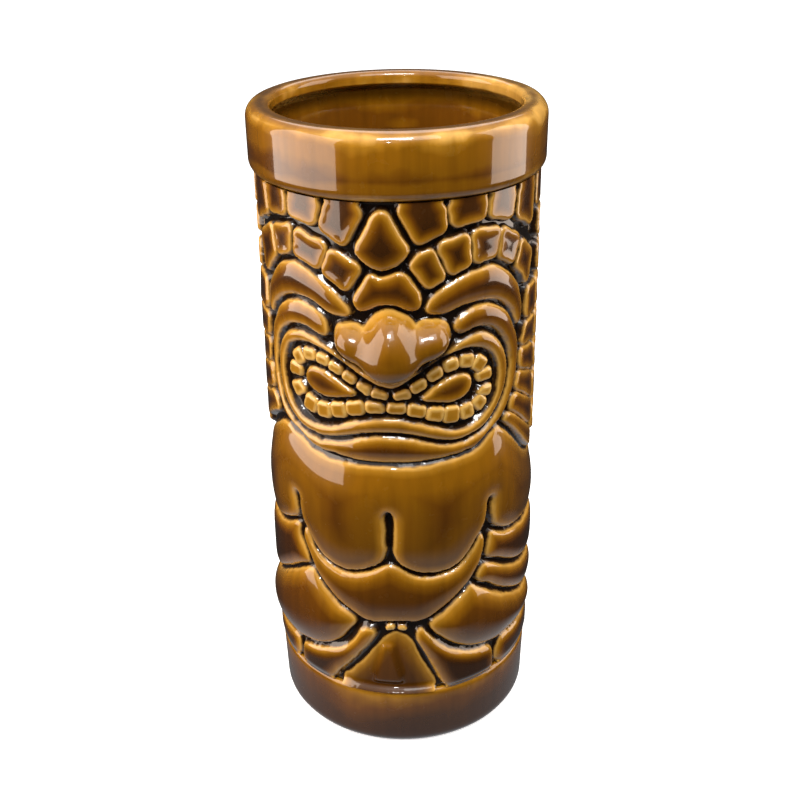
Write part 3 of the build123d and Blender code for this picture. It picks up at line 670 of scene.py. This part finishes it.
def folded_leg(inner_is_low):
    """A folded leg, with a hollow under the fist near its inner end."""
    leg = clay_swell(3.0, 12)

    def style(flat, edge, full, links, falls):
        rise = leg(flat, edge, full, links, falls)
        low = flat.min(axis=0)
        size = flat.max(axis=0) - low
        along = (flat[:, 0] - low[0]) / size[0]
        along = along if inner_is_low else 1 - along
        up = (flat[:, 1] - low[1]) / size[1]
        hollow = np.clip(1 - ((along - HOLLOW_AT) / HOLLOW_HALF_WIDTH) ** 2, 0, 1)
        hollow *= np.exp(-((edge / HOLLOW_REACH) ** 2)) * smooth_step((up - HOLLOW_AT) / 0.12)
        edge *= 1 - 0.8 * hollow
        return smoothed(rise * (1 - 0.9 * hollow), links, falls, 2)

    return style


CHEST_SWELL_WIDTH = 9.0
CHEST_SHARES = (0.28, 0.32, 0.40)
SIDE_FROM = 30.0
SIDE_RAMP = 14.0
SIDE_LOSS = 0.30


def torso(flat, edge, full, links, falls):
    """The chest: it leans in towards the chin, swells over each breast, and is flatter at the sides."""
    lean = np.sin(shoulder_slope(flat) * np.pi / 2)
    swell = rounded_edge(edge, CHEST_SWELL_WIDTH, 2.0)
    swell = smoothed(swell, links, False, 70)
    swell = (swell - swell.min()) / (swell.max() - swell.min())
    flank = rounded_edge(edge, 1.3) * groove_foot(edge)
    base, leaning, swelling = CHEST_SHARES
    shape = base + leaning * lean + swelling * swell * lean ** 0.5
    shape *= 1 - SIDE_LOSS * smooth_step((np.abs(flat[:, 0]) - SIDE_FROM) / SIDE_RAMP)
    return smoothed(full * flank * shape, links, falls, 3)


# ---------------------------------------------------------------- lathe work: band, plinth and cup
def fix_normals(obj):
    """Turns every face outwards."""
    work = bmesh.new()
    work.from_mesh(obj.data)
    bmesh.ops.recalc_face_normals(work, faces=work.faces)
    work.to_mesh(obj.data)
    work.free()


def rounded_profile(corners, step=0.5):
    """A closed or open profile with rounded corners: (radius, height, corner radius) in order."""
    points = []
    for index, (x, y, size) in enumerate(corners):
        here = np.array([x, y])
        if size <= 0:
            points.append(here)
            continue
        before = np.array(corners[index - 1][:2])
        after = np.array(corners[(index + 1) % len(corners)][:2])
        to_before = (before - here) / np.linalg.norm(before - here)
        to_after = (after - here) / np.linalg.norm(after - here)
        half = math.acos(np.clip(to_before @ to_after, -1, 1)) / 2
        reach = size / math.tan(half)
        bisector = (to_before + to_after) / np.linalg.norm(to_before + to_after)
        centre = here + bisector * size / math.sin(half)
        start = here + to_before * reach - centre
        end = here + to_after * reach - centre
        turn = math.atan2(start[0] * end[1] - start[1] * end[0], start @ end)
        count = max(6, int(abs(turn) * size / step) + 2)
        for part in np.linspace(0, turn, count):
            cosine, sine = math.cos(part), math.sin(part)
            points.append(centre + [start[0] * cosine - start[1] * sine, start[0] * sine + start[1] * cosine])
    return points


def long_runs_cut(points, closed, step=2.0):
    """Adds points along the straight runs, so that the glaze has somewhere to change."""
    result = []
    pairs = list(zip(points, points[1:] + points[:1])) if closed else list(zip(points, points[1:]))
    for a, b in pairs:
        count = max(1, int(np.linalg.norm(b - a) / step))
        result += [a + (b - a) * index / count for index in range(count)]
    if not closed:
        result.append(points[-1])
    return result


SEGMENTS = 288


def turned(name, profile, closed, edge_values, tone, wobble, shades=None):
    """A profile turned round the axis. Wobble moves each point a little, as thrown clay is never true."""
    angles = np.arange(SEGMENTS) / SEGMENTS * 2 * np.pi
    points = []
    for radius, height in profile:
        ring_r, ring_z = wobble(radius, height, angles)
        points.append(np.c_[ring_r * np.sin(angles), -ring_r * np.cos(angles), ring_z])
    rows = len(profile)
    faces = []
    last = rows if closed else rows - 1
    for row in range(last):
        below = row * SEGMENTS
        above = (row + 1) % rows * SEGMENTS
        for index in range(SEGMENTS):
            after = (index + 1) % SEGMENTS
            faces.append((below + index, below + after, above + after, above + index))
    points = np.vstack(points)
    edge = np.repeat(edge_values, SEGMENTS)
    shade = np.repeat(np.ones(rows) if shades is None else shades, SEGMENTS)
    if not closed:
        for row, ring in ((0, 0), (rows - 1, (rows - 1) * SEGMENTS)):
            centre = len(points)
            points = np.vstack([points, [[0, 0, profile[row][1]]]])
            edge = np.r_[edge, edge_values[row]]
            shade = np.r_[shade, 1.0]
            for index in range(SEGMENTS):
                faces.append((ring + index, ring + (index + 1) % SEGMENTS, centre))
    obj = new_object(name, points, faces, {"edge": edge, "shade": shade, "tone": np.full(len(points), tone)})
    fix_normals(obj)
    return obj


def steady(radius, height, angles):
    return np.full(len(angles), radius), np.full(len(angles), height)


WOBBLE_FROM_R = 33.6
WOBBLE_FULL_R = 35.2


def hand_made(radius, height, angles):
    """A tenth of a millimetre or two of unevenness on the outside of the band and the plinth."""
    weight = np.clip((radius - WOBBLE_FROM_R) / (WOBBLE_FULL_R - WOBBLE_FROM_R), 0, 1)
    swell = 0.10 * np.sin(2 * angles + 0.6) + 0.07 * np.sin(5 * angles + 2.1) + 0.04 * np.sin(11 * angles)
    lift = 0.10 * np.sin(3 * angles + 1.0) + 0.06 * np.sin(7 * angles)
    lift = lift * weight * (1 if 1.0 < height < MUG_TOP - 0.3 else 0)
    return radius - 0.14 * weight + swell * 0.6 * weight, height + lift


LIP_INNER_R = 30.0
LIP_OUTER_ROUND = 3.2
LIP_INNER_ROUND = 1.6
LIP_EDGE_ROUND = 0.6
LIP_DEPTH = 3.0
RECESS_DEPTH = 4.6
RECESS_R = 31.4
BAND_LOWER_ROUND = 2.6
band_corners = [
    (CUP_HIGH_R, BAND_BOTTOM, 0),
    (BAND_R, BAND_BOTTOM, BAND_LOWER_ROUND),
    (BAND_R, MUG_TOP, LIP_OUTER_ROUND),
    (LIP_INNER_R, MUG_TOP, LIP_INNER_ROUND),
    (LIP_INNER_R, MUG_TOP - LIP_DEPTH, LIP_EDGE_ROUND),
    (RECESS_R, MUG_TOP - RECESS_DEPTH, 0),
]
band_profile = long_runs_cut(rounded_profile(band_corners, 0.3), True, 0.6)
LIP_FLAT_R = 32.4
LIP_FLAT_WIDTH = 1.9
LIP_FLAT_DEPTH = 1.6
INSIDE_R = 32.0
OUTSIDE_R = 34.0
OUTER_CREST = (BAND_R - 0.9, MUG_TOP - 1.1)
LOWER_CREST = (BAND_R - 0.7, BAND_BOTTOM + 0.7)
INNER_CREST = (LIP_INNER_R + 0.3, MUG_TOP - LIP_DEPTH + 0.8)
band_edge = []
band_shade = []
for radius, height in band_profile:
    depth = MUG_TOP - height
    outer = 0.75 * math.dist((radius, height), OUTER_CREST)
    lower = 1.6 * math.dist((radius, height), LOWER_CREST)
    inner = 0.9 * math.dist((radius, height), INNER_CREST)
    band_edge.append(0.7 + min(outer, lower, inner))
    flat_top = smooth_step(1 - abs(radius - LIP_FLAT_R) / LIP_FLAT_WIDTH) * (depth < LIP_FLAT_DEPTH)
    # painted shadow under the overhanging lip inside the cup, together with glaze that pools in the recess
    # there
    pool_and_shadow_under_lip = smooth_step((depth - LIP_DEPTH + 0.4) / 1.2) * smooth_step((LIP_DEPTH + 7.0 - depth) / 4.5)
    lower_half = smooth_step((depth - 4.0) / 8.0) * (radius > OUTSIDE_R)
    band_shade.append(1 - 0.5 * flat_top - 0.8 * pool_and_shadow_under_lip * (radius < INSIDE_R) - 0.25 * lower_half)
rim_band = turned("mug_rim_band", band_profile, True, np.array(band_edge), 0.2, hand_made, band_shade)

FOOT_R = 35.0
FOOT_RECESS_R = 31.0
FOOT_ROUND = 3.0
PLINTH_BORE_R = 32.0
PLINTH_TOP_ROUND = 1.2
plinth_corners = [
    (FOOT_RECESS_R, 0, 0),
    (FOOT_R, 0, FOOT_ROUND),
    (PLINTH_R, PLINTH_TOP, PLINTH_TOP_ROUND),
    (PLINTH_BORE_R, PLINTH_TOP, 0),
    (PLINTH_BORE_R, FOOT_RECESS, 0),
    (FOOT_RECESS_R, FOOT_RECESS, 0),
]
plinth_profile = long_runs_cut(rounded_profile(plinth_corners), True, 1.0)
plinth_crest = np.array((PLINTH_R - 0.3, PLINTH_TOP - 0.2))
plinth_edge = np.array([np.linalg.norm(plinth_crest - point) for point in plinth_profile]) + 0.7
base_plinth = turned("mug_base_plinth", plinth_profile, True, plinth_edge, -0.2, hand_made)

CUP_FLOOR = 7.0
CUP_LOW_R = 29.8
CUP_CORNER = 7.0
AXIS_R = 0.01
cup_corners = [
    (AXIS_R, FOOT_RECESS, 0),
    (PLINTH_BORE_R, FOOT_RECESS, 0),
    (PLINTH_BORE_R, PLINTH_TOP, 0),
    (GROUND_LOW_R, PLINTH_TOP, 0),
    (GROUND_HIGH_R, BAND_BOTTOM, 0),
    (CUP_HIGH_R, BAND_BOTTOM, 0),
    (CUP_LOW_R, CUP_FLOOR, CUP_CORNER),
    (AXIS_R, CUP_FLOOR, 0),
]
cup_profile = long_runs_cut(rounded_profile(cup_corners), False, 1.0)
cup_edge = []
for radius, height in cup_profile:
    outside = radius > PLINTH_BORE_R - 0.1
    cup_edge.append(0.0 if outside else 3.0 + 0.05 * (BAND_BOTTOM - height))
vessel = turned("mug_vessel", cup_profile, False, np.array(cup_edge), 0.0, steady)

# ---------------------------------------------------------------- the carved masses
TILE = pillow(1.15, dish=0.08, passes=2, reach=1.6)
SMALL_TILE = pillow(0.65, dish=0.0, passes=1)
GEM = pillow(1.3, dish=0.05, passes=3, crown=0.15, reach=2.5)
ROLL = pillow(1.5, passes=4, crown=0.25, reach=2.4)
LIP = pillow(1.3, passes=3, crown=0.2, reach=1.2)
NOSE = ("nose_bulb", "nostril_left", "nostril_right")
JAW = ("cheek_roll_left", "chin", "cheek_roll_right")
FAMILIES_OF_ONE = [
    ("crown_tiles_front crown_tiles_back brow_tiles_left brow_tiles_right", TILE),
    ("side_locks_left side_locks_right", TILE),
    ("forehead_gem bridge_plate", GEM),
    ("brow_roll_left brow_roll_right", ROLL),
    ("lip_ring", LIP),
    ("upper_teeth lower_teeth", SMALL_TILE),
    ("mouth_lobe_left mouth_lobe_right", pillow(1.3, passes=3, dish=0.1, reach=1.5)),
    ("chest", torso),
    ("belly", clay_swell(7.0, 50)),
    ("forearm_left", clay_swell(4.5, 30)),
    ("forearm_right_upper forearm_right_lower", clay_swell(4.0, 24)),
    ("fist_left fist_right", clay_swell(8.0, 50, shelf=0.35, foot=2.0)),
    ("leg_left", folded_leg(False)),
    ("leg_right", folded_leg(True)),
    ("hip_left hip_right", clay_swell(3.0, 12)),
    ("apron", flared),
    ("belt_tabs", SMALL_TILE),
    ("back_left back_right", clay_swell(8.0, 50)),
    (" ".join(f"back_hair_row_{number}" for number in range(1, 8)), TILE),
]
families = [(NOSE, sampled(NOSE, 34)), (JAW, ROLL)]
families += [((node,), style) for nodes, style in FAMILIES_OF_ONE for node in nodes.split()]
SPACINGS = {"back_left": 0.8, "back_right": 0.8, "chest": 0.55, "nose_bulb": 0.4}

outlines = []
for family, (nodes, style) in enumerate(families):
    for node in nodes:
        for mass in footprints(node):
            loops = [resampled(loop, FINE_STEP) for loop in mass["loops"]]
            loops = [eased(loop, 2 if len(loop) > SMALL_LOOP else 1) for loop in loops]
            outlines.append((family, node, loops, mass))

# every outline point, with its family and mass, to find a mass's neighbours with
labels = []
crowd = []
for own, (family, _, loops, _) in enumerate(outlines):
    for loop in loops:
        for point in loop:
            labels.append((family, own))
            crowd.append((point[0] % ROUND, point[1], 0))
tree = KDTree(len(crowd))
for index, point in enumerate(crowd):
    tree.insert(point, index)
tree.balance()

# masses of a family of several nodes are one surface; each other mass is its own
gathered = {}
members_of = {}
for own, (family, node, loops, mass) in enumerate(outlines):
    wide = grown(loops, (family, own, tree, labels))
    members_of.setdefault(family, []).append((node, wide, mass))
for family, (nodes, style) in enumerate(families):
    spacing = SPACINGS.get(nodes[0], FRONT_SPACING)
    groups = [members_of[family]] if len(nodes) > 1 else [[member] for member in members_of[family]]
    for group in groups:
        for node, parts in share_out(group, spacing, style).items():
            gathered.setdefault(node, []).extend(parts)
masses = {}
for node, parts in gathered.items():
    obj, normals = joined_object("mug_" + node, parts)
    if node in NOSE + JAW:
        obj.data.normals_split_custom_set_from_vertices(normals.tolist())
    masses[node] = obj


# ---------------------------------------------------------------- the glaze
def srgb(red, green, blue):
    """A colour given as 0 to 255 on screen, as linear light."""
    parts = [value / 255 for value in (red, green, blue)]
    return [part / 12.92 if part <= 0.04045 else ((part + 0.055) / 1.055) ** 2.4 for part in parts] + [1.0]


GROOVE = srgb(22, 13, 7)
DEEP = srgb(46, 26, 7)
GOLD = srgb(198, 150, 68)
AMBER_GOLD = srgb(158, 110, 26)
AMBER = srgb(130, 84, 8)
BROWN = srgb(98, 57, 6)
DARK = srgb(66, 37, 9)


WANDER = 0.45
DRIFT_REACH = 1.5
OWN_TONE = 0.25


def glaze_material(name, stops, streak, variation):
    """A clear, glossy glaze whose colour follows the distance from the piece's edge.

    stops are (distance in mm, colour), streak is how strongly upright brush marks show, and variation
    how much the glaze's thickness changes over centimetres."""
    reach = stops[-1][0]
    material = bpy.data.materials.new(name)
    material.use_nodes = True
    nodes = material.node_tree.nodes
    links = material.node_tree.links
    shader = nodes["Principled BSDF"]
    edge = nodes.new("ShaderNodeAttribute")
    edge.attribute_name = "edge"
    tone = nodes.new("ShaderNodeAttribute")
    tone.attribute_name = "tone"
    shade = nodes.new("ShaderNodeAttribute")
    shade.attribute_name = "shade"
    place = nodes.new("ShaderNodeTexCoord")

    mottle = nodes.new("ShaderNodeTexNoise")
    mottle.inputs["Scale"].default_value = 260.0
    mottle.inputs["Detail"].default_value = 4.0
    links.new(place.outputs["Object"], mottle.inputs["Vector"])

    cloud = nodes.new("ShaderNodeTexNoise")
    cloud.inputs["Scale"].default_value = 55.0
    cloud.inputs["Detail"].default_value = 3.0
    links.new(place.outputs["Object"], cloud.inputs["Vector"])

    stretch = nodes.new("ShaderNodeMapping")
    stretch.inputs["Scale"].default_value = (420.0, 420.0, 38.0)
    links.new(place.outputs["Object"], stretch.inputs["Vector"])
    brush = nodes.new("ShaderNodeTexNoise")
    brush.inputs["Scale"].default_value = 1.0
    brush.inputs["Detail"].default_value = 5.0
    links.new(stretch.outputs["Vector"], brush.inputs["Vector"])

    def maths(operation, first, second=None, third=None):
        node = nodes.new("ShaderNodeMath")
        node.operation = operation
        for index, value in enumerate((first, second, third)):
            if value is None:
                continue
            if isinstance(value, (int, float)):
                node.inputs[index].default_value = value
            else:
                links.new(value, node.inputs[index])
        return node.outputs[0]

    wander = maths("MULTIPLY_ADD", mottle.outputs["Fac"], 2 * WANDER, -WANDER)
    moved = maths("ADD", edge.outputs["Fac"], wander)
    drift = maths("MULTIPLY_ADD", cloud.outputs["Fac"], 2 * variation, -variation)
    drift = maths("MULTIPLY", drift, maths("MINIMUM", edge.outputs["Fac"], DRIFT_REACH))
    moved = maths("ADD", moved, drift)
    own = maths("MULTIPLY", tone.outputs["Fac"], OWN_TONE)
    own = maths("MULTIPLY", own, maths("MINIMUM", edge.outputs["Fac"], DRIFT_REACH))
    moved = maths("ADD", moved, own)
    share = maths("DIVIDE", moved, reach)
    ramp = nodes.new("ShaderNodeValToRGB")
    elements = ramp.color_ramp.elements
    while len(elements) > 1:
        elements.remove(elements[-1])
    elements[0].position = stops[0][0] / reach
    elements[0].color = stops[0][1]
    for distance, colour in stops[1:]:
        element = elements.new(min(distance / reach, 1.0))
        element.color = colour
    links.new(share, ramp.inputs["Fac"])

    marks = nodes.new("ShaderNodeMapRange")
    marks.inputs["From Min"].default_value = 0.25
    marks.inputs["From Max"].default_value = 0.75
    marks.inputs["To Min"].default_value = 1.0 - streak
    marks.inputs["To Max"].default_value = 1.0 + streak * 0.6
    links.new(brush.outputs["Fac"], marks.inputs["Value"])
    tinted = nodes.new("ShaderNodeVectorMath")
    tinted.operation = "SCALE"
    links.new(ramp.outputs["Color"], tinted.inputs[0])
    # the shade attribute darkens the colour: pooled glaze, with painted shade low on each mass and under the
    # lip
    links.new(maths("MULTIPLY", marks.outputs["Result"], shade.outputs["Fac"]), tinted.inputs["Scale"])
    links.new(tinted.outputs["Vector"], shader.inputs["Base Color"])

    rough = nodes.new("ShaderNodeMapRange")
    rough.inputs["To Min"].default_value = 0.16
    rough.inputs["To Max"].default_value = 0.34
    links.new(mottle.outputs["Fac"], rough.inputs["Value"])
    links.new(rough.outputs["Result"], shader.inputs["Roughness"])
    shader.inputs["IOR"].default_value = 1.5
    shader.inputs["Coat Weight"].default_value = 1.0
    shader.inputs["Coat Roughness"].default_value = 0.035
    shader.inputs["Coat IOR"].default_value = 1.52
    shader.inputs["Specular IOR Level"].default_value = 0.12

    peel = nodes.new("ShaderNodeTexNoise")
    peel.inputs["Scale"].default_value = 45.0
    peel.inputs["Detail"].default_value = 0.0
    links.new(place.outputs["Object"], peel.inputs["Vector"])
    bump = nodes.new("ShaderNodeBump")
    bump.inputs["Strength"].default_value = 0.5
    bump.inputs["Distance"].default_value = 0.00012
    links.new(peel.outputs["Fac"], bump.inputs["Height"])
    links.new(bump.outputs["Normal"], shader.inputs["Coat Normal"])
    links.new(bump.outputs["Normal"], shader.inputs["Normal"])
    return material


tile_glaze = glaze_material(
    "tile_glaze",
    [(0.0, GROOVE), (0.42, DEEP), (0.9, GOLD), (1.4, AMBER_GOLD), (2.1, AMBER), (2.9, BROWN), (3.8, DARK)],
    0.18,
    0.35,
)
roll_glaze = glaze_material(
    "roll_glaze",
    [(0.0, GROOVE), (0.42, DEEP), (0.9, GOLD), (1.45, AMBER_GOLD), (2.2, AMBER), (3.3, BROWN), (4.5, DARK)],
    0.18,
    0.45,
)
body_glaze = glaze_material(
    "body_glaze",
    [(0.0, GROOVE), (0.4, DEEP), (0.8, GOLD), (1.5, AMBER_GOLD), (3.2, AMBER), (7.0, AMBER), (12.0, BROWN)],
    0.16,
    0.8,
)
belly_glaze = glaze_material(
    "belly_glaze",
    [(0.0, GROOVE), (0.4, DEEP), (0.8, GOLD), (1.5, AMBER_GOLD), (3.0, AMBER), (5.5, BROWN), (9.0, BROWN)],
    0.20,
    0.8,
)
tooth_glaze = glaze_material(
    "tooth_glaze",
    [(0.0, GROOVE), (0.3, DEEP), (0.6, GOLD), (0.9, srgb(206, 166, 88)), (1.8, AMBER_GOLD)],
    0.10,
    0.15,
)
band_glaze = glaze_material(
    "band_glaze",
    [(0.0, GOLD), (0.7, GOLD), (1.5, AMBER_GOLD), (3.0, AMBER), (6.0, AMBER), (8.0, BROWN)],
    0.22,
    4.0,
)
plinth_glaze = glaze_material(
    "plinth_glaze",
    [(0.0, AMBER_GOLD), (0.9, AMBER_GOLD), (3.2, AMBER), (6.0, BROWN), (11.0, DARK), (16.0, srgb(58, 32, 12))],
    0.18,
    4.5,
)
wall_glaze = glaze_material(
    "wall_glaze",
    [(0.0, GROOVE), (1.6, GROOVE), (2.6, GOLD), (8.0, srgb(176, 130, 58)), (12.0, GOLD)],
    0.03,
    2.0,
)

TILE_NODES = ("crown", "brow_tiles", "side_locks", "back_hair")
ROLL_NODES = ("roll", "lip_ring", "gem", "bridge", "chin", "lobe", "leg", "hip", "forearm")


def finish_of(node):
    """A mass's material and slot."""
    if "teeth" in node or "tabs" in node:
        return tooth_glaze, "tooth_glaze"
    if node.startswith(TILE_NODES):
        return tile_glaze, "relief_glaze"
    if any(word in node for word in ROLL_NODES):
        return roll_glaze, "relief_glaze"
    if "fist" in node or node in ("belly", "apron"):
        return belly_glaze, "relief_glaze"
    return body_glaze, "relief_glaze"


finished = [(piece, node, *finish_of(node)) for node, piece in masses.items()]
finished += [
    (rim_band, "rim_band", band_glaze, "band_glaze"),
    (base_plinth, "base_plinth", plinth_glaze, "band_glaze"),
    (vessel, "vessel", wall_glaze, "wall_glaze"),
]
for piece, node, material, slot in finished:
    piece.data.materials.append(material)
    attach(piece, "root")
    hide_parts(node)


# ---------------------------------------------------------------- floor, backdrop, lights, camera
def studio_bowl():
    """A pale floor that curves up into a wall all round the mug."""
    flat_r, bend, height = 1300.0, 500.0, 2300.0
    sides, bend_steps = 96, 12
    profile = [(1.0, 0.0), (60.0, 0.0), (200.0, 0.0), (600.0, 0.0), (flat_r, 0.0)]
    for index in range(1, bend_steps + 1):
        angle = index / bend_steps * math.pi / 2
        profile.append((flat_r + bend * math.sin(angle), bend - bend * math.cos(angle)))
    profile.append((flat_r + bend, height))
    angles = np.arange(sides) / sides * 2 * np.pi
    points = np.vstack([np.c_[r * np.sin(angles), -r * np.cos(angles), np.full(sides, z)] for r, z in profile])
    faces = []
    for row in range(len(profile) - 1):
        for index in range(sides):
            after = (index + 1) % sides
            low, high = row * sides, (row + 1) * sides
            faces.append((low + index, low + after, high + after, high + index))
    faces.append(tuple(range(sides - 1, -1, -1)))
    bowl = new_object("studio_bowl", points, faces, {})
    white = bpy.data.materials.new("bowl_white")
    white.use_nodes = True
    shader = white.node_tree.nodes["Principled BSDF"]
    shader.inputs["Base Color"].default_value = (0.8, 0.8, 0.8, 1.0)
    shader.inputs["Roughness"].default_value = 0.8
    shader.inputs["Emission Color"].default_value = (1.0, 1.0, 1.0, 1.0)
    shader.inputs["Emission Strength"].default_value = 0.6
    bowl.data.materials.append(white)
    bowl.visible_glossy = False
    bowl.visible_diffuse = False


studio_bowl()

VIEW_AZIMUTH = 6.0


def around(azimuth, distance, height):
    """A place in metres at an azimuth from the camera's side of the mug; distances in mm."""
    angle = math.radians(azimuth + VIEW_AZIMUTH)
    return Vector((distance * math.sin(angle), -distance * math.cos(angle), height)) * MM


def softbox(name, azimuth, distance, height, width, tall, power, aim_height, colour=(1, 1, 1)):
    light = bpy.data.lights.new(name, "AREA")
    light.shape = "RECTANGLE"
    light.size = width * MM
    light.size_y = tall * MM
    light.energy = power
    light.color = colour
    lamp = bpy.data.objects.new(name, light)
    lamp.location = around(azimuth, distance, height)
    lamp.visible_camera = False
    direction = Vector((0, 0, aim_height * MM)) - lamp.location
    lamp.rotation_euler = direction.to_track_quat("-Z", "Y").to_euler()
    bpy.context.scene.collection.objects.link(lamp)


WARM = (1.0, 0.84, 0.72)
softbox("softbox_left", -74, 430, 300, 480, 600, 4.1, 300, WARM)
softbox("softbox_right", 89, 430, 300, 290, 600, 2.2, 300, WARM)
softbox("top_light", 20, 500, 950, 500, 500, 2.8, 60)
softbox("top_strip", -4, 420, 800, 300, 170, 4.2, 60)
softbox("front_spark", -8, 900, 700, 50, 50, 0.9, 80)
softbox("back_light", 180, 700, 900, 900, 500, 2.6, 300)

world = bpy.data.worlds.new("studio")
world.use_nodes = True
sky = world.node_tree.nodes
direction = sky.new("ShaderNodeTexCoord")
split = sky.new("ShaderNodeSeparateXYZ")
world.node_tree.links.new(direction.outputs["Generated"], split.inputs["Vector"])
height_tone = sky.new("ShaderNodeValToRGB")
height_tone.color_ramp.elements[0].position = 0.0
height_tone.color_ramp.elements[0].color = (0.6, 0.6, 0.62, 1.0)
height_tone.color_ramp.elements[1].position = 1.0
height_tone.color_ramp.elements[1].color = (1.3, 1.3, 1.32, 1.0)
for position, value in ((0.13, 0.4), (0.2, 0.03), (0.5, 0.02), (0.7, 0.12), (0.85, 0.75)):
    element = height_tone.color_ramp.elements.new(position)
    element.color = (value, value, value * 1.02, 1.0)
rescale = sky.new("ShaderNodeMath")
rescale.operation = "MULTIPLY_ADD"
rescale.inputs[1].default_value = 0.5
rescale.inputs[2].default_value = 0.5
world.node_tree.links.new(split.outputs["Z"], rescale.inputs[0])
world.node_tree.links.new(rescale.outputs["Value"], height_tone.inputs["Fac"])
world.node_tree.links.new(height_tone.outputs["Color"], sky["Background"].inputs["Color"])
sky["Background"].inputs["Strength"].default_value = 1.0
bpy.context.scene.world = world
bpy.context.scene.view_settings.view_transform = "Standard"

CAMERA_BACK = 271.4
CAMERA_SIDE = -2.13
CAMERA_UP = 228.6
CAMERA_PITCH = 26.71
CAMERA_ROLL = 0.995
FRAME_WIDTH = 800
FOCAL_PX = 1133.6
CENTRE_PX = (392.6, 390.2)
camera_data = bpy.data.cameras.new("view")
camera_data.sensor_width = 36.0
camera_data.lens = FOCAL_PX / FRAME_WIDTH * camera_data.sensor_width
camera_data.shift_x = (FRAME_WIDTH / 2 - CENTRE_PX[0]) / FRAME_WIDTH
camera_data.shift_y = (CENTRE_PX[1] - FRAME_WIDTH / 2) / FRAME_WIDTH
camera_data.clip_start = 0.01
camera = bpy.data.objects.new("view", camera_data)
turn = Matrix.Rotation(math.radians(VIEW_AZIMUTH), 3, "Z")
pitch = math.radians(CAMERA_PITCH)
roll = math.radians(CAMERA_ROLL)
forward = turn @ Vector((0, math.cos(pitch), -math.sin(pitch)))
level_up = turn @ Vector((0, math.sin(pitch), math.cos(pitch)))
level_right = turn @ Vector((1, 0, 0))
up = level_up * math.cos(roll) + level_right * math.sin(roll)
right = level_right * math.cos(roll) - level_up * math.sin(roll)
axes = Matrix((right, up, -forward)).transposed().to_4x4()
axes.translation = turn @ Vector((CAMERA_SIDE, -CAMERA_BACK, CAMERA_UP)) * MM
camera.matrix_world = axes
bpy.context.scene.collection.objects.link(camera)
bpy.context.scene.camera = camera

bpy.context.view_layer.update()
